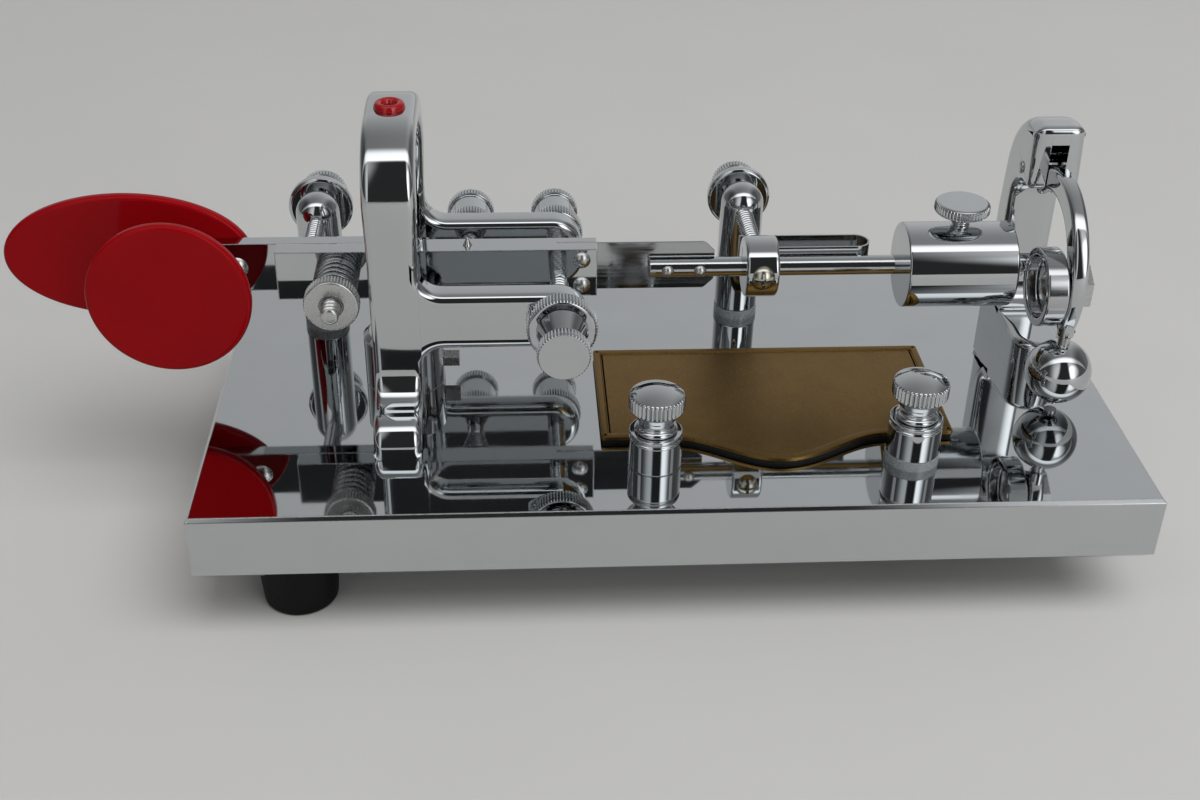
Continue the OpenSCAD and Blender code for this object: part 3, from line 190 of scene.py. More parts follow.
def drawn_wire(tree, place):
    """Drawing marks about 0.3 mm apart."""
    marks = add(tree, "TexNoise", grain(place, 0.3, 3))
    return {"Roughness": add(tree, "MapRange", spread(marks, 0.16, 0.34)),
            "Base Color": add(tree, "Mix", tones(marks, "#8e9092", "#b4b6b8"), 2, data_type="RGBA")}


def rolled_strip(tree, place):
    """Streaks along X about 0.4 mm wide, drawn wider than the real ones."""
    along = add(tree, "Mapping", {"Vector": place, "Scale": (0.04, 1, 1)})
    streak = add(tree, "TexNoise", grain(along, 0.4))
    return {"Roughness": add(tree, "MapRange", spread(streak, 0.05, 0.14)),
            "Base Color": add(tree, "Mix", tones(streak, "#a9abac", "#c6c8c9"), 2, data_type="RGBA")}


NICKEL = finish("nickel_plate_turned", turned, Metallic=1.0)
WIRE = finish("spring_wire_drawn", drawn_wire, Metallic=1.0)
STRIP = finish("spring_steel_rolled", rolled_strip, Metallic=1.0)
print("steels", NICKEL.name, WIRE.name, STRIP.name)

# %% [markdown]
# The finger pieces are pressed from glossy red acrylic, which is a little cloudy and gets fine wiping
# marks. The jewel is a pressed glass bead, clear red and uneven; its hole is painted nearly black, a painted
# shade for the little light that comes out of it.

# %% Red acrylic and red glass
jewel_low, jewel_high = span("jewel")
JEWEL_AXIS = np.array([*(jewel_low[:2] + jewel_high[:2]) / 2, jewel_low[2]])


def pressed_acrylic(tree, place):
    """Red in 12 mm clouds, with wiping marks 0.6 mm apart in the gloss."""
    cloud = add(tree, "TexNoise", grain(place, 12, 3))
    along = add(tree, "Mapping", {"Vector": place, "Scale": (0.2, 1, 1)})
    marks = add(tree, "TexNoise", grain(along, 0.6))
    return {"Base Color": add(tree, "Mix", tones(cloud, "#84060e", "#90080f"), 2, data_type="RGBA"),
            "Roughness": add(tree, "MapRange", spread(marks, 0.07, 0.15))}


def bead_glass(tree, place):
    """Red in 1.5 mm clouds, and painted shade: nearly black within 1 mm of the bead's axis, in its hole."""
    cloud = add(tree, "TexNoise", grain(place, 1.5))
    red = add(tree, "Mix", tones(cloud, "#b01018", "#cc1a21"), 2, data_type="RGBA")
    flat = add(tree, "Mapping", {"Vector": place, "Scale": (1, 1, 0)})
    axis = (*metres(JEWEL_AXIS)[:2], 0)
    away = add(tree, "VectorMath", {0: flat, 1: axis}, "Value", operation="DISTANCE")
    # painted shade: red away from the axis, and a nearly black colour in the hole that stands for its shade
    red_outside_painted_shade = add(tree, "MapRange", spread(away, 0, 1, 0.0009, 0.0012))
    return {"Base Color": add(tree, "Mix", {0: red_outside_painted_shade, 6: colour("#2a0305"), 7: red}, 2, data_type="RGBA"),
            "Roughness": add(tree, "MapRange", spread(cloud, 0.02, 0.06))}


ACRYLIC = finish("red_acrylic_pressed", pressed_acrylic, IOR=1.49, Specular_IOR_Level=0.09)
BEAD = finish("red_glass_bead", bead_glass, IOR=1.52, Transmission_Weight=0.5)
print("reds", ACRYLIC.name, BEAD.name)

# %% [markdown]
# The plate is brass that has gone brown, with the stipple of the press; the contact strap is bright rolled
# brass, and a few screws are zinc plated, pale grey with a breath of straw.

# %% Brass and zinc
def aged_brass(tree, place):
    """5 mm clouds of tarnish and a 0.35 mm stipple, drawn coarser than the real 0.1 mm."""
    cloud = add(tree, "TexNoise", grain(place, 5, 5))
    stipple = add(tree, "TexNoise", grain(place, 0.35))
    return {"Base Color": add(tree, "Mix", tones(cloud, "#745a33", "#866a3a"), 2, data_type="RGBA"),
            "Roughness": add(tree, "MapRange", spread(stipple, 0.26, 0.42)),
            "Normal": add(tree, "Bump", {"Height": stipple, "Strength": 0.25, "Distance": 0.00006})}


def bright_brass(tree, place):
    """Rolled strip with 0.5 mm streaks along X."""
    along = add(tree, "Mapping", {"Vector": place, "Scale": (0.1, 1, 1)})
    streak = add(tree, "TexNoise", grain(along, 0.5))
    return {"Base Color": add(tree, "Mix", tones(streak, "#c19a4e", "#d8b468"), 2, data_type="RGBA"),
            "Roughness": add(tree, "MapRange", spread(streak, 0.16, 0.3))}


def passivated_zinc(tree, place):
    """Pale grey with a breath of straw, in 1 mm clouds."""
    cloud = add(tree, "TexNoise", grain(place, 1, 3))
    return {"Base Color": add(tree, "Mix", tones(cloud, "#b7b3a2", "#c9c6b8"), 2, data_type="RGBA"),
            "Roughness": add(tree, "MapRange", spread(cloud, 0.12, 0.24))}


BRASS = finish("brass_plate_aged", aged_brass, Metallic=1.0)
STRAP = finish("brass_strip", bright_brass, Metallic=1.0)
ZINC = finish("zinc_plate_passivated", passivated_zinc, Metallic=1.0)
print("yellow metals", BRASS.name, STRAP.name, ZINC.name)

# %% [markdown]
# The feet are moulded black rubber and the pad under the plate is black felt: both are nearly black, and only
# their grain catches light. The washers are milky nylon, and the bushes are brown vulcanised fibre.

# %% Rubber, pad, nylon and fibre
def moulded_rubber(tree, place):
    """Near-black, with a 0.4 mm mould grain."""
    skin = add(tree, "TexNoise", grain(place, 0.4, 3))
    return {"Base Color": add(tree, "Mix", tones(skin, "#040505", "#090a0a"), 2, data_type="RGBA"),
            "Roughness": add(tree, "MapRange", spread(skin, 0.42, 0.6)),
            "Normal": add(tree, "Bump", {"Height": skin, "Strength": 0.3, "Distance": 0.0001})}


def felted_pad(tree, place):
    """Black with a 0.5 mm grain."""
    hair = add(tree, "TexNoise", grain(place, 0.5, 3))
    return {"Base Color": add(tree, "Mix", tones(hair, "#0d0d0d", "#191817"), 2, data_type="RGBA"),
            "Roughness": add(tree, "MapRange", spread(hair, 0.6, 0.85))}


def clouded_nylon(tree, place):
    """Milky with 2 mm clouds."""
    cloud = add(tree, "TexNoise", grain(place, 2, 3))
    return {"Base Color": add(tree, "Mix", tones(cloud, "#aeb4b6", "#c8cdce"), 2, data_type="RGBA"),
            "Roughness": add(tree, "MapRange", spread(cloud, 0.2, 0.34))}


def pressed_fibre(tree, place):
    """Brown board with 0.8 mm fibres along X."""
    along = add(tree, "Mapping", {"Vector": place, "Scale": (0.15, 1, 1)})
    fibre = add(tree, "TexNoise", grain(along, 0.8, 4))
    return {"Base Color": add(tree, "Mix", tones(fibre, "#5a3a22", "#74502f"), 2, data_type="RGBA"),
            "Roughness": add(tree, "MapRange", spread(fibre, 0.6, 0.8))}


RUBBER = finish("black_rubber_moulded", moulded_rubber, IOR=1.52, Specular_IOR_Level=0.15)
PAD = finish("black_pad", felted_pad, IOR=1.45)
NYLON = finish("clear_nylon", clouded_nylon, IOR=1.53, Transmission_Weight=0.45)
FIBRE = finish("vulcanised_fibre", pressed_fibre, IOR=1.5)
print("finishes", len(bpy.data.materials))

# %% [markdown]
# The CAD nodes that keep their mesh get their finish from the slot that the record names for them.

# %% Finish the CAD nodes
BY_SLOT = {"chrome": BAR_CHROME, "steel": NICKEL, "spring_steel": STRIP, "red_plastic": ACRYLIC,
           "red_jewel": BEAD, "brass_plate": BRASS, "dark_pad": PAD, "rubber": RUBBER, "clear_fibre": NYLON,
           "fibre_sheet": FIBRE, "strap_brass": STRAP, "plated_screw": ZINC}
for part in frame["record"]["subparts"]:
    node = frame["nodes"][part["node"]]
    node.data.materials.clear()
    node.data.materials.append(BY_SLOT[part["material_slot"]])
print("CAD nodes finished", len(frame["nodes"]))

# %% [markdown]
# Nearly every shape on the key is turned on a lathe or cut from plate. Both start from a flat line: the
# outline of a plate or the profile of a turned piece, made of arcs and of corners that are a little
# rounded. A surface is then a grid of closed rings, with quads between them and a cap over each end.

# %% Lines and rings
def arc(centre, radius, start, stop, count):
    """Points on a circle between two angles in degrees."""
    a = np.radians(np.linspace(start, stop, count))
    return np.stack([centre[0] + radius * np.cos(a), centre[1] + radius * np.sin(a)], 1)


def soften(corners, radius, steps=6):
    """Rounds the corners of a broken line: each gives way to the curve (1-t)^2 a + 2t(1-t) c + t^2 b,
    where a and b lie radius away from the corner c on its two sides, with a point just outside each end."""
    p = np.asarray(corners, float)
    here, back, on = p[1:-1], p[:-2] - p[1:-1], p[2:] - p[1:-1]
    back_l, on_l = np.linalg.norm(back, axis=1), np.linalg.norm(on, axis=1)
    reach = np.minimum(radius, 0.46 * np.minimum(back_l, on_l))[:, None]
    a, b = back / back_l[:, None] * reach, on / on_l[:, None] * reach
    t = np.linspace(0, 1, steps)[:, None, None]
    curve = here + (1 - t) ** 2 * a + t ** 2 * b
    lines = np.concatenate([here[None] + 1.07 * a, curve, here[None] + 1.07 * b])
    return np.concatenate([p[:1], lines.swapaxes(0, 1).reshape(-1, 2), p[-1:]])


def rings(points, strip=False):
    """Shell of a grid of closed rings: quads between neighbouring rings and a flat face over each end, or
    a strip of quads between the ring's first half and its second half counted backwards."""
    rows, columns = points.shape[:2]
    i, j = np.arange(rows - 1)[:, None] * columns, np.arange(columns)
    k = (j + 1) % columns
    quads = np.stack([i + j, i + k, i + columns + k, i + columns + j], -1).reshape(-1, 4)
    cap = j[None, ::-1]
    if strip:
        a = np.arange(columns // 2 - 1)
        cap = np.stack([a, columns - 1 - a, columns - 2 - a, a + 1], 1)
    return points.reshape(-1, 3), [quads, cap, cap[:, ::-1] + (rows - 1) * columns]


print("a softened square corner", soften([(0, 0), (1, 0), (1, 1)], 0.3, 3).round(2).tolist())

# %% [markdown]
# A turned piece is a profile of radius and height spun round an axis. Knurls and threads are waves in its
# radius: the tool leaves rounded ribs with sharp valleys between them, and a thread climbs one pitch a
# turn.

# %% Turned surfaces
STEPS_A_RIB = 6


def knurl(count, depth, low, high):
    """Rounded ribs along the axis: between two heights the radius dips by depth * (1 - |sin|), count times
    a turn."""
    return lambda h, t: depth * ((h >= low) & (h <= high)) * (1 - abs(np.sin(count * t / 2)))


def thread(pitch, depth, low, high):
    """Screw thread: the radius dips by depth once a pitch, and the dip climbs one pitch a turn."""
    return lambda h, t: depth * ((h >= low) & (h <= high)) * (0.5 - 0.5 * np.cos(2 * np.pi * h / pitch - t))


def lathe(profile, centre, axis, steps=72, carve=()):
    """Each (radius, height) of the profile turns once round the axis through centre; carved waves come off
    the radius. The axis is a letter, with a minus sign where heights count the other way."""
    w = AXES[axis[-1]] * (-1 if axis[0] == "-" else 1)
    r, h = np.asarray(profile, float).T[..., None]
    t = np.arange(steps) * 2 * np.pi / steps
    r = np.maximum(r - sum(wave(h, t) for wave in carve), 0) + 0 * t
    spin = np.cos(t)[:, None] * np.roll(abs(w), 1) + np.sin(t)[:, None] * np.roll(abs(w), 2)
    return rings(np.asarray(centre, float) + r[..., None] * spin + h[..., None] * w)


def ring_of(profile):
    """A profile closed on itself, for a turned piece with a bore."""
    return np.concatenate([profile, profile[:1]])


print("ribs of a knurl", knurl(2, 1.0, 0, 1)(0.5, np.linspace(0, np.pi, 5)).round(2).tolist())

# %% [markdown]
# A plate piece is an outline stacked in rings, and the outer rings step inwards along a quarter circle,
# which gives the polished round edge that carries the highlights.

# %% Plate surfaces
def rim(low, high, edge, under=None, steps=7):
    """Insets and heights of a plate's rings: quarter circles with radius edge above and under below."""
    edge = np.atleast_1d(np.asarray(edge, float))
    under = edge if under is None else np.atleast_1d(np.asarray(under, float))
    a = np.linspace(0, np.pi / 2, steps)[:, None]
    inset = [under[None] + 0.05, under * (1 - np.cos(a[::-1])), edge * (1 - np.cos(a)), edge[None] + 0.05]
    height = [low + 0 * under[None], low + under * (1 - np.sin(a[::-1])), high - edge * (1 - np.sin(a)),
              high + 0 * edge[None]]
    size = max(x.shape[1] for x in inset + height)
    return [np.concatenate([np.broadcast_to(x, (len(x), size)) for x in rows]) for rows in (inset, height)]


def plate(outline, inset, height, axes):
    """Rings over an anticlockwise outline: each is the outline moved inwards by its inset, at its height.
    axes names the outline's two directions and the direction of the height. The outline's second half
    runs back beside its first, point by point, so that the faces can be closed by a strip."""
    along = np.roll(outline, -1, 0) - np.roll(outline, 1, 0)
    along = along / np.linalg.norm(along, axis=1, keepdims=True)
    inward = np.stack([-along[:, 1], along[:, 0]], 1)
    flat = outline + np.asarray(inset)[..., None] * inward
    a, b, c = (AXES[x] for x in axes)
    rise = np.broadcast_to(height, flat.shape[:2])[..., None]
    return rings(flat[..., :1] * a + flat[..., 1:] * b + rise * c, strip=True)


print("rings of a 3 mm plate with 0.5 mm edges", rim(0, 3, 0.5)[1].shape[0])

# %% [markdown]
# Shells become an object at the origin, in metres.

# %% Pieces
def piece(name, shells, material, body, nodes, sharp=38):
    """Joins shells into one object in place of CAD nodes on a body; sharp is the crease angle in degrees."""
    starts = np.cumsum([0] + [len(points) for points, faces in shells])
    points = np.concatenate([points for points, faces in shells])
    blocks = [block + start for (_, parts), start in zip(shells, starts) for block in parts]
    faces = [face for block in blocks for face in block.tolist()]
    mesh = bpy.data.meshes.new(name)
    mesh.from_pydata(((points + ORIGIN) / 1000).tolist(), [], faces)
    work = bmesh.new()
    work.from_mesh(mesh)
    bmesh.ops.remove_doubles(work, verts=work.verts, dist=1e-7)
    bmesh.ops.dissolve_degenerate(work, edges=work.edges, dist=1e-8)
    bmesh.ops.recalc_face_normals(work, faces=work.faces)
    work.to_mesh(mesh)
    work.free()
    mesh.polygons.foreach_set("use_smooth", np.ones(len(mesh.polygons), bool))
    mesh.set_sharp_from_angle(angle=math.radians(sharp))
    mesh.materials.append(material)
    thing = bpy.data.objects.new(name, mesh)
    bpy.context.scene.collection.objects.link(thing)
    if body:
        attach(thing, body)
    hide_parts(*nodes)
    print(name, len(mesh.polygons), "faces")
    return thing


# %% [markdown]
# The frame is a polished casting: an arch across the base with feet that flare outwards, and two arms that
# reach along the lever. Its edges are rounded by more than a millimetre. The arch is a plate piece whose
# width follows its height.

# %% Frame: the arch
SOFT, LEG_HALF, ARM_MID, ARM_HALF, ARM_FILLET = 1.5, 4.3, 20.6, 5.5, 4
STRAP_OUT, STRAP_IN, CROWN_R, FLARE_R = 17, 12.2, 13, 5.5
low, high = span("frame")
toe, crown, frame_x = high[1], high[2], low[0] + LEG_HALF
rise = np.linspace(12.7, crown - CROWN_R - 0.5, 44)
bend = (STRAP_OUT - CROWN_R, crown - CROWN_R)
outer = np.concatenate([[(toe, 0.01)], arc((toe - FLARE_R, 1), FLARE_R, 0, 90, 14),
                        arc((STRAP_OUT + FLARE_R, 12), FLARE_R, 270, 180, 14),
                        np.stack([0 * rise + STRAP_OUT, rise], 1), arc(bend, CROWN_R, 0, 90, 28)])
inner = np.concatenate([np.linspace((STRAP_IN, 0.01), (STRAP_IN, 12.3), 29),
                        np.stack([0 * rise + STRAP_IN, rise], 1),
                        arc(bend, CROWN_R - STRAP_OUT + STRAP_IN, 0, 90, 28)])
mirrored = np.array([-1, 1])
arch = np.concatenate([outer, (outer * mirrored)[::-1], inner * mirrored, inner[::-1]])
half_width = np.interp(arch[:, 1], [0, 12, 33, 42, crown], [4.15, LEG_HALF, LEG_HALF, 4.6, 4.5])
# Where an arm's fillet leaves a leg, the leg's own edge rounding gives way to it.
past_arm = abs(arch[:, 1] - ARM_MID) - ARM_HALF
fillet = ARM_FILLET - np.sqrt(ARM_FILLET ** 2 - (ARM_FILLET - np.clip(past_arm, 0, ARM_FILLET)) ** 2)
on_leg = (past_arm < ARM_FILLET) & (abs(arch[:, 0]) > 12)
arch_edge = np.where(on_leg, np.clip(SOFT - fillet, 0.02, SOFT), SOFT)
arch_rim = rim(frame_x - half_width, frame_x + half_width, arch_edge, np.full(len(arch), SOFT))
frame_shells = [plate(arch, *arch_rim, "YZX")]
print("arch", round(crown, 2), "mm tall")

# %% [markdown]
# The arms are thinner plates let into the legs, with a fillet above and below. A rounded edge hides a
# little of the solid's corner, so the arms are drawn half a millimetre fuller than the solid and then show
# the same outline.

# %% Frame: the arms
leg, arm_end = frame_x + LEG_HALF, high[0] - ARM_HALF
skin = leg - 0.04
low_z, high_z = ARM_MID - ARM_HALF, ARM_MID + ARM_HALF
arm = np.concatenate([[(leg - 3, ARM_MID - 12), (skin, ARM_MID - 12), (skin, ARM_MID - 10)],
                      arc((leg + ARM_FILLET, low_z - ARM_FILLET), ARM_FILLET, 180, 90, 14),
                      np.linspace((leg + 4.6, low_z), (arm_end - 0.6, low_z), 12),
                      arc((arm_end, ARM_MID), ARM_HALF, -90, 90, 40),
                      np.linspace((arm_end - 0.6, high_z), (leg + 4.6, high_z), 12),
                      arc((leg + ARM_FILLET, high_z + ARM_FILLET), ARM_FILLET, 270, 180, 14),
                      [(skin, ARM_MID + 10), (skin, ARM_MID + 12), (leg - 3, ARM_MID + 12)]])
arm_edge = np.interp(arm[:, 1], [low_z, high_z], [2.4, 1.6])
SINK = 0.01  # keeps the arms' faces just under those of the legs
for near, far in ((-STRAP_OUT + SINK, -STRAP_IN - SINK), (STRAP_IN + SINK, STRAP_OUT - SINK)):
    frame_shells.append(plate(arm, *rim(near, far, np.full(len(arm), 0.8), arm_edge), "XZY"))
piece("cast_frame", frame_shells, CAST_CHROME, "base", ["frame"])

# %% [markdown]
# A red glass bead caps the upper pivot. It is a short turned ring with a fully rounded lip and a blind hole.

# %% Jewel
bead = soften([(0, 0.7), (0.95, 0.7), (1.0, 1.4), (1.45, 2.2), (1.9, 2.4), (2.45, 2.2), (2.75, 1.5),
               (2.75, 0), (0, 0)], 0.4)
piece("bead", [lathe(bead, JEWEL_AXIS, "Z")], BEAD, "base", ["jewel"])

# %% [markdown]
# The thumb piece is an oval and the finger piece a disc, both pressed from thick red acrylic and tumbled
# until their edges are round, so a pale line of light runs along the rim.

# %% Finger pieces
low, high = span("thumb_piece")
mid, size = (low + high) / 2, (high - low) / 2
t = np.arange(160) * 2 * np.pi / 160
oval = np.stack([mid[0] + size[0] * np.cos(t), mid[2] + size[2] * np.sin(t)], 1)
piece("thumb_oval", [plate(oval, *rim(low[1], high[1], 0.8), "XZY")], ACRYLIC, "dash_arm", ["thumb_piece"])
low, high = span("finger_piece")
mid, size = (low + high) / 2, (high - low) / 2
disc = soften([(0, 0), (size[0], 0), (size[0], 2 * size[1]), (0, 2 * size[1])], 0.9, 8)
piece("finger_disc", [lathe(disc, [mid[0], low[1], mid[2]], "Y", 160)], ACRYLIC, "dash_arm", ["finger_piece"])

# %% [markdown]
# The plate on the base is pressed brass with a raised border that follows its swelled front edge. It is a
# plate piece with more rings: up the edge, over the border and down to the sunk field, which stays bare.

# %% Plate
low, high = span("name_plate")
SWELL, ROUND = 7.6, 0.6
x = np.linspace(low[0] + 1.2, high[0] - 1.2, 120)
swell = SWELL * (0.5 + 0.5 * np.cos(np.pi * np.clip((x - (low[0] + high[0]) / 2) / 20, -1, 1)))
front_y, left_x, right_x, back_y = low[1] + SWELL, low[0] + ROUND, high[0] - ROUND, high[1] - ROUND
outline = np.concatenate([arc((left_x, front_y + ROUND), ROUND, 180, 260, 6),
                          np.stack([x, front_y - swell], 1),
                          arc((right_x, front_y + ROUND), ROUND, 280, 360, 6),
                          arc((right_x, back_y), ROUND, 0, 80, 6),
                          np.stack([x, 0 * x + high[1]], 1)[::-1], arc((left_x, back_y), ROUND, 100, 180, 6)])
inset = np.array([0.3, 0, 0, 0.05, 0.2, 0.35, 1.05, 1.2, 1.4, 1.5, 1.7, 1.8])[:, None]
height = np.array([0, 0, 0.5, 0.62, 0.69, 0.7, 0.7, 0.68, 0.45, 0.42, 0.42, 0.42])[:, None] + low[2]
pressing = plate(outline, inset, height, "XYZ")
piece("border_plate", [pressing], BRASS, "base", ["name_plate"], 30)

# %% [markdown]
# Every adjusting screw is the same turned part: a threaded shank, a smooth neck and a straight-knurled head
# with a flat bright face. The near one's neck narrows towards the head, so that it mirrors the dim ceiling.
# The lock nuts are knurled discs with a bevelled face, and two are left smooth.

# %% Adjusting screws and lock nuts
HEAD_LONG, SHANK_R, NUT_BORE, HEAD_RIBS = 2.4, 1.72, 1.8, 46


def outwards(low, high):
    """Direction and starting height of a turned piece whose outer end lies away from the lever."""
    return ("Y", low[1]) if low[1] + high[1] > 0 else ("-Y", high[1])


def adjuster(name, node, body, neck, wide=0.5, slim=0.5):
    """Shank, neck and head from the tip outwards. The neck's radius is less than the head's by wide at the
    nut and by slim at the head."""
    low, high = span(node)
    mid, long, r = (low + high) / 2, high[1] - low[1], (high[0] - low[0]) / 2
    out, tip = outwards(low, high)
    neck_at, head_at = long - HEAD_LONG - neck, long - HEAD_LONG
    shank = np.linspace(0.5, neck_at - 0.2, int(neck_at / 0.1))
    top = soften([(1.75, neck_at), (r - wide, neck_at), (r - slim, head_at), (r - 0.2, head_at),
                  (r, head_at + 0.25), (r, long - 0.3), (r - 0.3, long), (0.01, long)], 0.12, 4)
    profile = np.concatenate([[(0, 0), (1.3, 0.02)], np.stack([np.full(len(shank), SHANK_R), shank], 1), top,
                              [(0, long)]])
    waves = [thread(0.9, 0.3, 0.5, neck_at - 0.3), knurl(HEAD_RIBS, 0.42, head_at + 0.1, long - 0.02)]
    screw = lathe(profile, [mid[0], tip, mid[2]], out, HEAD_RIBS * STEPS_A_RIB, waves)
    piece(name, [screw], CHROME, body, [node], 30)


def lock_nut(name, node, body, ribs):
    """Disc with a bevelled outer face; ribs round the rim, none for a smooth one."""
    low, high = span(node)
    mid, thick, r = (low + high) / 2, high[1] - low[1], (high[0] - low[0]) / 2
    out, seat = outwards(low, high)
    profile = soften([(NUT_BORE, 0), (r - 0.5, 0), (r, 0.4), (r, thick - 0.6), (r - 0.5, thick - 0.05),
                      (r - 0.8, thick), (NUT_BORE, thick)], 0.15, 4)
    waves = [knurl(ribs, 0.48, 0.2, thick - 0.3)] if ribs else []
    nut = lathe(ring_of(profile), [mid[0], seat, mid[2]], out, ribs * STEPS_A_RIB or 96, waves)
    piece(name, [nut], CHROME, body, [node], 30)


adjuster("rest_adjuster", "rest_stop_screw", "rest_screw", 5.9, 0.05, 2.6)
adjuster("dot_stop_adjuster", "dot_stop_screw", "dot_stop", 5.9)
adjuster("return_spring_adjuster", "return_screw", "return_adjuster", 5.9)
adjuster("dash_contact_adjuster", "dash_contact_screw", "dash_contact", 3.4)
adjuster("dot_contact_adjuster", "dot_contact_screw", "dot_contact", 3.4)
lock_nut("rest_lock_nut", "rest_stop_nut", "rest_nut", 64)
lock_nut("dot_stop_lock_nut", "dot_stop_nut", "dot_stop_locknut", 56)
lock_nut("return_lock_nut", "return_nut", "return_locknut", 56)
lock_nut("dash_contact_lock_nut", "dash_contact_nut", "dash_contact_locknut", 0)
lock_nut("dot_contact_lock_nut", "dot_contact_nut", "dot_contact_locknut", 0)

# %% [markdown]
# The dash tension stud ends in an open thread, and its nut squeezes the spring against the lever.
# The nut's satin face is countersunk, so a dark ring surrounds the stud.

# %% Dash tension stud and nut
low, high = span("dash_tension_stud")
mid, long = (low + high) / 2, high[1] - low[1]
turns = np.linspace(0.55, long - 6, int(long / 0.09))
profile = np.concatenate([[(0, 0), (0.9, 0), (1.3, 0.08), (1.5, 0.3)],
                          np.stack([np.full(len(turns), 1.7), turns], 1), [(1.7, long), (0, long)]])
stud = lathe(profile, [mid[0], low[1], mid[2]], "Y", 48, [thread(1.1, 0.36, 0.55, long - 7)])
piece("tension_stud", [stud], NICKEL, "dash_arm", ["dash_tension_stud"], 50)
low, high = span("dash_nut")
mid, thick, r = (low + high) / 2, high[1] - low[1], (high[0] - low[0]) / 2
profile = soften([(1.75, 0), (r - 0.35, 0), (r, 0.3), (r, thick - 0.4), (r - 0.3, thick), (2.1, thick),
                  (1.85, thick - 0.4), (1.75, thick - 1.5)], 0.22, 4)
NUT_RIBS = 52
ribs = [knurl(NUT_RIBS, 0.34, 0.15, thick - 0.2)]
nut = lathe(ring_of(profile), [mid[0], high[1], mid[2]], "-Y", NUT_RIBS * STEPS_A_RIB, ribs)
piece("tension_nut_disc", [nut], NICKEL, "tension_nut", ["dash_nut"], 30)

# %% [markdown]
# Two contact posts stand on insulating washers: plain round bars with a polished round top.

# %% Contact posts
POSTS, POST_R = [(-65.05, 21.5), (17.3, 24.2)], 4.2
low, high = span("contact_posts")
tall = high[2] - low[2]
bar = np.concatenate([[(0, 0), (POST_R - 0.3, 0), (POST_R, 0.3), (POST_R, 1), (POST_R, tall - POST_R - 0.2)],
                      arc((0, tall - POST_R), POST_R, 0, 90, 20)])
posts = [lathe(bar, [x, y, low[2]], "Z", 96) for x, y in POSTS]
piece("round_posts", posts, CHROME, "base", ["contact_posts"])

# %% [markdown]
# The binding posts take the line wires: a turned body with a lip, and a loose cap with a domed top,
# a fluted rim and a waisted neck. One stands on the base and one on its insulating washer.

# %% Binding posts
TERMINALS, BODY_R, DOME, FLUTES = [(-3.7, -30, 0.0), (41.6, -30, 1.7)], 4.65, 1.3, 36
lip = soften([(0, 0), (BODY_R, 0), (BODY_R, 5.6), (BODY_R - 0.3, 5.9), (BODY_R - 0.3, 6.1), (BODY_R, 6.3),
              (BODY_R, 6.9), (0, 6.9)], 0.25, 4)
bodies = [lathe(lip, place, "Z", 96) for place in TERMINALS]
piece("terminal_bodies", bodies, CHROME, "base", ["binding_posts"])
for side in ("left", "right"):
    low, high = span(f"binding_cap_{side}")
    mid, r, tall = (low + high) / 2, (high[0] - low[0]) / 2, high[2] - low[2]
    reach = np.linspace(r - 0.5, 0, 16)
    ball_r = ((r - 0.25) ** 2 + DOME ** 2) / (2 * DOME)
    dome = np.stack([reach, tall - ball_r + np.sqrt(ball_r ** 2 - reach ** 2)], 1)
    neck = soften([(0, 0), (3.7, 0), (3.8, 0.4), (3.5, 0.8), (3.05, 1.1), (3.05, 1.5), (3.75, 3.7),
                   (4.1, 4.2), (r - 0.15, 4.35), (r, 4.65), (r, tall - 1.6),
                   (r - 0.25, tall - DOME)], 0.25, 4)
    flutes = [knurl(FLUTES, 0.3, 4.35, tall - 1.35)]
    cap = lathe(np.concatenate([neck, dome]), [mid[0], mid[1], low[2]], "Z", FLUTES * STEPS_A_RIB, flutes)
    piece(f"terminal_cap_{side}", [cap], CHROME, f"{side}_cap", [f"binding_cap_{side}"], 30)

# %% [markdown]
# The flat spring joins the lever to the rod and bends as the rod swings. It is drawn as a row of thin
# sections along its length and its free corners are cut off; the piece stays where it is drawn and follows
# neither body.

# %% Flat main spring
low, high = span("main_spring")
x = np.linspace(low[0], high[0], 90)
mid, tall = (low + high) / 2, (high[2] - low[2]) / 2
CORNER = 1.8
cut = tall - np.clip(x - (high[0] - CORNER), 0, CORNER)
section = np.array([(-1, -0.8), (-0.8, -1), (0.8, -1), (1, -0.8), (1, 0.8), (0.8, 1), (-0.8, 1), (-1, 0.8)])
y = mid[1] + section[:, 0] * (high[1] - low[1]) / 2 + 0 * x[:, None]
z = mid[2] + np.sign(section[:, 1]) * (cut[:, None] - (1 - abs(section[:, 1])) * 0.25)
sections = rings(np.stack([x[:, None] + 0 * y, y, z], -1))
strip = piece("flat_spring", [sections], STRIP, None, ["main_spring"])
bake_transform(strip)

# %% [markdown]
# Two coil springs work against the levers. A coil is a small circle carried along a helix; its first and last
# turns lie flat, as on a wound spring. Each rides on the main lever and keeps its length, though the real one
# shortens a little as its joint moves.

# %% Coil springs
def coil(centre, radius, wire, long, turns, out):
    """Wire circle carried along a helix about Y: the angle grows evenly, the height follows a smooth step
    that lingers at both ends, and the radius may run between two values."""
    u = np.linspace(0, 1, int(turns * 40))
    flat = np.clip((u * turns - 0.6) / (turns - 1.2), 0, 1)
    a = 2 * np.pi * turns * u
    r = radius[0] + (radius[1] - radius[0]) * flat
    h = wire + (long - 2 * wire) * (0.92 * flat + 0.08 * u)
    ray = np.stack([np.cos(a), 0 * a, np.sin(a)], 1)
    path = np.asarray(centre, float) + r[:, None] * ray + out * h[:, None] * AXES["Y"]
    along = np.gradient(path, axis=0)
    along /= np.linalg.norm(along, axis=1, keepdims=True)
    side = np.cross(along, ray)
    t = np.arange(14) * 2 * np.pi / 14
    ring = np.cos(t)[:, None] * ray[:, None] + np.sin(t)[:, None] * side[:, None]
    return rings(path[:, None] + wire * ring)


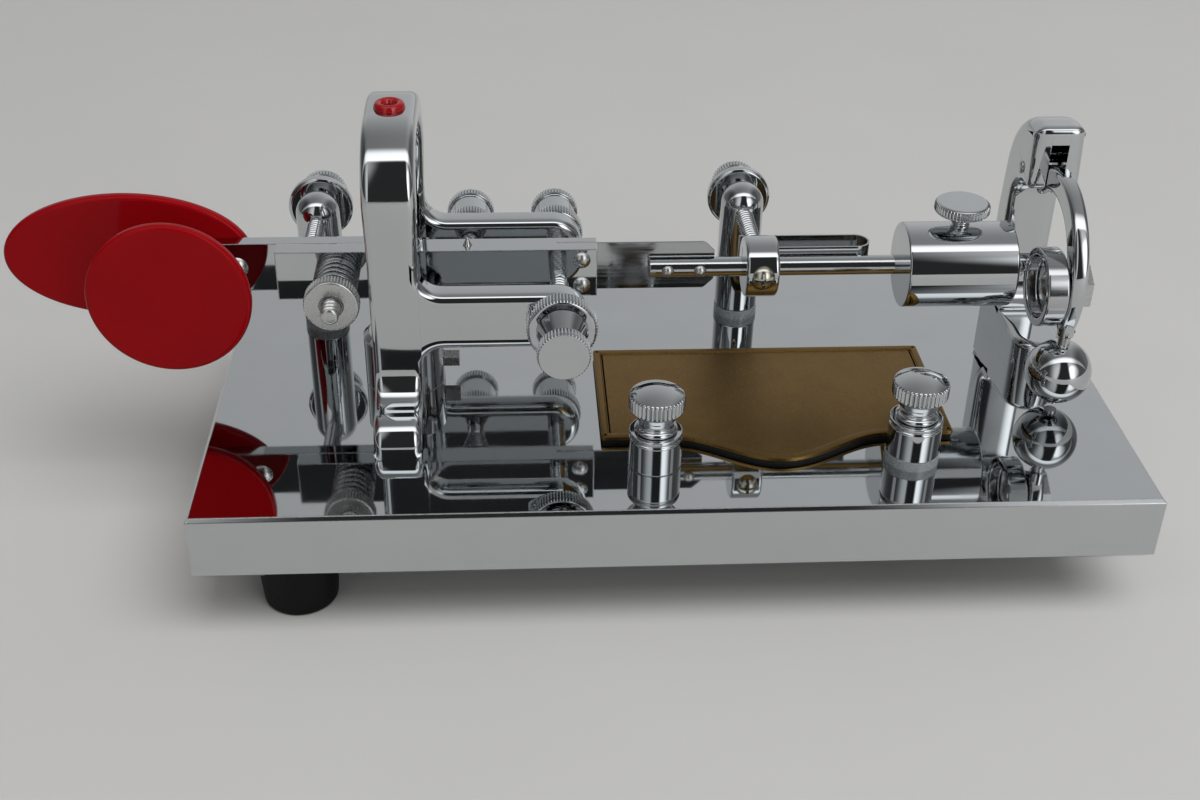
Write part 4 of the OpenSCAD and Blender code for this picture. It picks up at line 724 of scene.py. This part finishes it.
low, high = span("dash_spring")
mid = (low + high) / 2
dash_coil = coil([mid[0], high[1], mid[2]], (3.56, 3.56), 0.44, high[1] - low[1], 6, -1)
tension = piece("tension_spring", [dash_coil], WIRE, "main_lever", ["dash_spring"])
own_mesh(tension)
low, high = span("return_spring")
mid = (low + high) / 2
return_coil = coil([mid[0], low[1], mid[2]], (2.83, 1.63), 0.42, high[1] - low[1], 5, 1)
restoring = piece("restoring_spring", [return_coil], WIRE, "main_lever", ["return_spring"])
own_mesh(restoring)

# %% [markdown]
# The rod carries a collar with a contact spring, and a plain cylinder that slides to set the speed.
# Collar, weight and its knurled thumbscrew are turned pieces with small polished edges.

# %% Collar, weight and thumbscrew
for name, node, body, bore, edge, steps in (("rod_collar", "contact_clamp", "vibrator", 1.82, 0.7, 120),
                                            ("sliding_weight", "speed_weight", "weight", 1.84, 0.4, 192)):
    low, high = span(node)
    mid, long, r = (low + high) / 2, high[0] - low[0], (high[2] - low[2]) / 2
    profile = soften([(bore, 0), (r, 0), (r, long), (bore, long)], edge, 7)
    cylinder = lathe(ring_of(profile), [low[0], mid[1], mid[2]], "X", steps)
    piece(name, [cylinder], CHROME, body, [node])
low, high = span("weight_screw")
mid, tall, r = (low + high) / 2, high[2] - low[2], (high[0] - low[0]) / 2
neck = np.linspace(0.3, tall - 2.5, 90)
head = soften([(1.75, tall - 2.3), (r - 0.5, tall - 2.2), (r, tall - 1.8), (r, tall - 0.55),
               (r - 0.5, tall - 0.05), (0, tall)], 0.3, 6)
profile = np.concatenate([[(0, 0), (1.4, 0)], np.stack([np.full(90, 1.75), neck], 1), head])
THUMB_RIBS = 48
waves = [thread(0.9, 0.3, 0.3, tall - 2.6), knurl(THUMB_RIBS, 0.36, tall - 1.95, tall - 0.3)]
thumbscrew = lathe(profile, [mid[0], mid[1], low[2]], "Z", THUMB_RIBS * STEPS_A_RIB, waves)
piece("weight_thumbscrew_head", [thumbscrew], CHROME, "weight_thumbscrew", ["weight_screw"], 30)

# %% [markdown]
# The damper post is a casting bent forwards over the rod, with a slotted head. Its two cheeks and the web
# between them are plates of like outline, and only the outer edges of the cheeks are rounded. A bridge
# closes the slot above, the foot is a thick plate with a round nose, and a short pin with domed ends
# crosses the slot.

# %% Damper post
low, high = span("damper_post")
damper_x, wide = (low[0] + high[0]) / 2, (high[0] - low[0]) / 2
SLOT, HEAD_MID, HEAD_R = 1.65, (8.4, 35.2), 11.8
back = np.concatenate([np.linspace((20.2, 7.4), (20.2, 34.6), 28), arc(HEAD_MID, HEAD_R, 0, 89, 44)])
column = np.concatenate([arc((8.8, 12.5), 5, -88, 0, 16), np.linspace((13.8, 13.2), (13.8, 29), 12),
                         arc((8.8, 29.8), 5, 0, 90, 14)])
nose = soften([(8.2, 34.8), (5, 34.8), (5, 47), (8.4, 47)], np.array([1.5, 3.1]), 8)[1:-1]
nose = np.concatenate([nose[:10], np.linspace(nose[9], nose[10], 12)[1:-1], nose[10:]])
cheek = np.concatenate([back, np.concatenate([column, nose])[::-1]])
soft = np.concatenate([np.interp(back[:, 1], [26, 38, 46, 47], [1.5, 2.7, 2.7, 2.2]), np.full(10, 2.2),
                       np.linspace(2.2, 1.2, 10), np.full(10, 1.2), np.full(len(column), 1.2)])
none = np.zeros(len(cheek))
web = np.concatenate([back[:28], arc(HEAD_MID, HEAD_R, 0, 57.9, 28),
                      np.concatenate([column, np.linspace((13.2, 35.2), (13.2, 45.1), 14)])[::-1]])
bridge = np.concatenate([arc(HEAD_MID, HEAD_R, 57.9, 89, 14), nose[::-1][:10],
                         np.linspace((5, 43.7), (13.2, 45), 24)])
foot = np.concatenate([arc((damper_x, low[1] + wide), wide, 270, 360, 24),
                       np.linspace((damper_x + wide, 2), (damper_x + wide, 20.19), 14),
                       np.linspace((damper_x - wide, 20.19), (damper_x - wide, 2), 14),
                       arc((damper_x, low[1] + wide), wide, 180, 270, 24)])
broken = np.interp(foot[:, 1], [3, 9], [1.5, 0.02])
shells = [plate(bridge, *rim(damper_x - SLOT - 0.01, damper_x + SLOT + 0.01, 0.0), "YZX"),
          plate(cheek, *rim(damper_x - wide, damper_x - SLOT, none, soft), "YZX"),
          plate(cheek, *rim(damper_x + SLOT, damper_x + wide, soft, none), "YZX"),
          plate(web, *rim(damper_x - SLOT, damper_x + SLOT, 0.0), "YZX"),
          plate(foot, *rim(0.01, 7.5, broken, 0 * broken), "XYZ")]
piece("slotted_post", shells, CAST_CHROME, "base", ["damper_post"])
low, high = span("damper_pin")
mid, long, r = (low + high) / 2, high[0] - low[0], (high[2] - low[2]) / 2
ends = arc((0, 0), 1, -90, 90, 24) * (r, 0.45)
ends[:, 1] += np.where(np.arange(24) < 12, -0.1, long + 0.1)
piece("hinge_pin", [lathe(ends, [low[0], mid[1], mid[2]], "X", 40)], NICKEL, "base", ["damper_pin"])

# %% [markdown]
# The arm hangs on a pin in the slot. It is a curved strip with well-rounded edges, an eye at the pin and
# a lug for the wheel's axle; the wheel is a shallow turned dish, and a ball hangs below.

# %% Damper arm, wheel and ball
low, high = span("damper_arm")
left, right = low[0], high[0]
BOW_MID, BOW_OUT, BOW_IN, AXLE, LUG_R = (0.3, 23.7), 16.8, 12.2, (-9.87, 22.85), 3
bow = np.concatenate([arc(BOW_MID, BOW_OUT, 45, 211, 90), arc(BOW_MID, BOW_IN, 211, 45, 90)])
lug_top, lug_low = AXLE[1] + LUG_R, AXLE[1] - LUG_R
lug = np.concatenate([arc(AXLE, LUG_R, 0, 90, 14), np.linspace((-11, lug_top), (-13.6, lug_top), 6),
                      np.linspace((-13.6, lug_low), (-11, lug_low), 6), arc(AXLE, LUG_R, 270, 360, 14)])
eye = arc((10.2, 37.3), 2.5, 0, 354, 60)
peg = [(0, 14.85), (1.3, 14.85), (1.5, 15.1), (1.5, 19.5), (0, 19.5)]
shells = [plate(bow, *rim(left, right, 0.95), "YZX"), plate(lug, *rim(left + 0.06, right - 0.06, 0.5), "YZX"),
          plate(eye, *rim(left + 0.05, right - 0.05, 0.3), "YZX"),
          lathe(peg, [(left + right) / 2, -13.8, 0], "Z", 48)]
piece("curved_arm", shells, CHROME, "damper", ["damper_arm"])
low, high = span("damper_wheel")
mid, long, r = (low + high) / 2, high[0] - low[0], (high[2] - low[2]) / 2
profile = soften([(1.6, 2.2), (5.5, 2.2), (5.65, 0), (r, 0), (r, long), (1.6, long)], 0.4, 6)
wheel = lathe(ring_of(profile), [low[0], mid[1], mid[2]], "X", 144)
piece("dished_wheel", [wheel], STRIP, "wheel", ["damper_wheel"])
low, high = span("damper_ball")
mid, r = (low + high) / 2, (high[0] - low[0]) / 2
globe = lathe(arc((0, 0), r, -90, 90, 60), mid, "Z", 96)
piece("mirror_ball", [globe], CHROME, "damper", ["damper_ball"])

# %% [markdown]
# Three rubber feet carry the base. They taper towards the table and their lower rim is rounded.

# %% Feet
FEET = [(-66.55, -32.95), (-66.55, 32.95), (66.55, 0)]
low, high = span("rubber_feet")
tall = high[2] - low[2]
cone = soften([(0, 0), (6.5, 0), (7.4, tall), (0, tall)], 1.0, 7)
feet = [lathe(cone, [x, y, low[2]], "Z", 72) for x, y in FEET]
piece("tapered_feet", feet, RUBBER, "base", ["rubber_feet"])

# %% [markdown]
# The camera stands where the photograph was taken from: slightly left of the middle, looking down.

# %% Camera
camera = bpy.data.objects.new("camera", bpy.data.cameras.new("camera"))
bpy.context.scene.collection.objects.link(camera)
bpy.context.scene.camera = camera
turn, dip, roll = np.radians([3.659, 32.413, 0.996])
ahead = np.array([np.sin(turn) * np.cos(dip), np.cos(turn) * np.cos(dip), -np.sin(dip)])
level = np.array([np.cos(turn), -np.sin(turn), 0])
upright = np.cross(level, ahead)
pose = np.eye(4)
pose[:3, 0] = np.cos(roll) * level + np.sin(roll) * upright
pose[:3, 1] = np.cos(roll) * upright - np.sin(roll) * level
pose[:3, 2] = -ahead
pose[:3, 3] = metres([-27.637, -252.089, 154.308])
camera.matrix_world = Matrix(pose.tolist())
camera.data.sensor_width = 36
camera.data.lens = 46.57
camera.data.clip_start, camera.data.clip_end = 0.01, 20
print("lens", round(camera.data.lens, 2), "mm")

# %% [markdown]
# Plated metal shows its surroundings, so the room matters as much as the lamps: a pale wall behind that
# fades towards the ceiling, a long bright strip light above the operator, a window at the front right, dim
# side walls and a dark shape at the front. The room is a function of direction alone. The first number that
# it needs is the angle over the key: 0 level at the back, a quarter turn straight up and half a turn level
# at the front.

# %% Room: the angle over the key
world = bpy.data.worlds.new("room")
bpy.context.scene.world = world
world.use_nodes = True
sky = world.node_tree
sky.nodes.clear()
way = add(sky, "TexCoord", out="Generated")
x_way = add(sky, "SeparateXYZ", {"Vector": way}, "X")
y_way, z_way = x_way.node.outputs["Y"], x_way.node.outputs["Z"]
over = add(sky, "Math", {0: z_way, 1: y_way}, operation="ARCTAN2")
SMOOTH = {"interpolation_type": "SMOOTHSTEP"}
print("nodes for the angle over the key", len(sky.nodes))

# %% [markdown]
# Each part of the room is a soft step in that angle or in how nearly a direction points somewhere.
# The parts are added up and dimmed towards the sides, and the dark shape, which narrows upwards, takes away
# what lies behind it.

# %% Room: walls, lights and the dark shape
wall = add(sky, "MapRange", spread(over, 0.52, 0.24, 0.3, 1.5), **SMOOTH)
tilt = add(sky, "MapRange", spread(x_way, -0.05, 0.12, -0.8, 0.8), **SMOOTH)
strip_from = add(sky, "MapRange", spread(over, 0.0, 1.3, 1.7, 1.9), **SMOOTH)
strip_to = add(sky, "MapRange", spread(over, 1.0, 0.0, 2.06, 2.12), **SMOOTH)
strip_light = add(sky, "Math", {0: strip_from, 1: strip_to}, operation="MULTIPLY")
to_front = add(sky, "VectorMath", {0: way, 1: (0.05, -0.94, 0.34)}, "Value", operation="DOT_PRODUCT")
front_wall = add(sky, "MapRange", spread(to_front, 0.0, 0.62, 0.5, 0.92), **SMOOTH)
to_window = add(sky, "VectorMath", {0: way, 1: (0.55, -0.76, 0.34)}, "Value", operation="DOT_PRODUCT")
window = add(sky, "MapRange", spread(to_window, 0.0, 1.5, 0.90, 0.97), **SMOOTH)
lit = wall
for more in (tilt, strip_light, front_wall, window):
    lit = add(sky, "Math", {0: lit, 1: more}, operation="ADD")
sideways = add(sky, "Math", {0: x_way}, operation="ABSOLUTE")
side_wall = add(sky, "MapRange", spread(sideways, 1.0, 0.3, 0.45, 0.8), **SMOOTH)
lit = add(sky, "Math", {0: lit, 1: side_wall}, operation="MULTIPLY")
aside = add(sky, "Math", {0: x_way, 1: 0.04}, operation="SUBTRACT")
aside = add(sky, "Math", {0: aside}, operation="ABSOLUTE")
aside = add(sky, "Math", {0: z_way, 1: 0.2, 2: aside}, operation="MULTIPLY_ADD")
in_front = add(sky, "MapRange", spread(y_way, 1.0, 0.0, -0.53, -0.47), **SMOOTH)
between_sides = add(sky, "MapRange", spread(aside, 1.0, 0.0, 0.32, 0.46), **SMOOTH)
shape = add(sky, "Math", {0: in_front, 1: between_sides}, operation="MULTIPLY")
glow = add(sky, "Mix", {0: shape, 2: lit, 3: 0.03})
background = add(sky, "Background", {"Color": colour("#fdfeff"), "Strength": glow})
add(sky, "OutputWorld", {"Surface": background})
bpy.context.scene.view_settings.view_transform = "Standard"
print("room with", len(sky.nodes), "nodes")

# %% [markdown]
# The table is pale laminate, matt enough to show no image of the key. A broad lamp above it softens the
# shadow; it isn't seen in the plating, where the room already gives the light.

# %% Table and lamp
mesh = bpy.data.meshes.new("table")
mesh.from_pydata([(-3, -3, 0), (3, -3, 0), (3, 3, 0), (-3, 3, 0)], [], [(0, 1, 2, 3)])
table = bpy.data.objects.new("table", mesh)
bpy.context.scene.collection.objects.link(table)


def laminate(tree, place):
    """Pale laminate with 60 mm clouds and a 0.8 mm grain."""
    cloud = add(tree, "TexNoise", grain(place, 60, 3))
    paper = add(tree, "TexNoise", grain(place, 0.8))
    return {"Base Color": add(tree, "Mix", tones(cloud, "#bebdbb", "#c3c2c0"), 2, data_type="RGBA"),
            "Roughness": add(tree, "MapRange", spread(paper, 0.5, 0.62))}


mesh.materials.append(finish("pale_laminate", laminate, IOR=1.45, Specular_IOR_Level=0.2))
panel = bpy.data.lights.new("lamp_above", "AREA")
panel.shape, panel.size, panel.size_y, panel.energy = "RECTANGLE", 1.4, 1.1, 20
lamp = bpy.data.objects.new("lamp_above", panel)
bpy.context.scene.collection.objects.link(lamp)
lamp.location = metres((560, -700, 1400))
lamp.visible_glossy = False
print("lamp of", panel.energy, "W above the table")
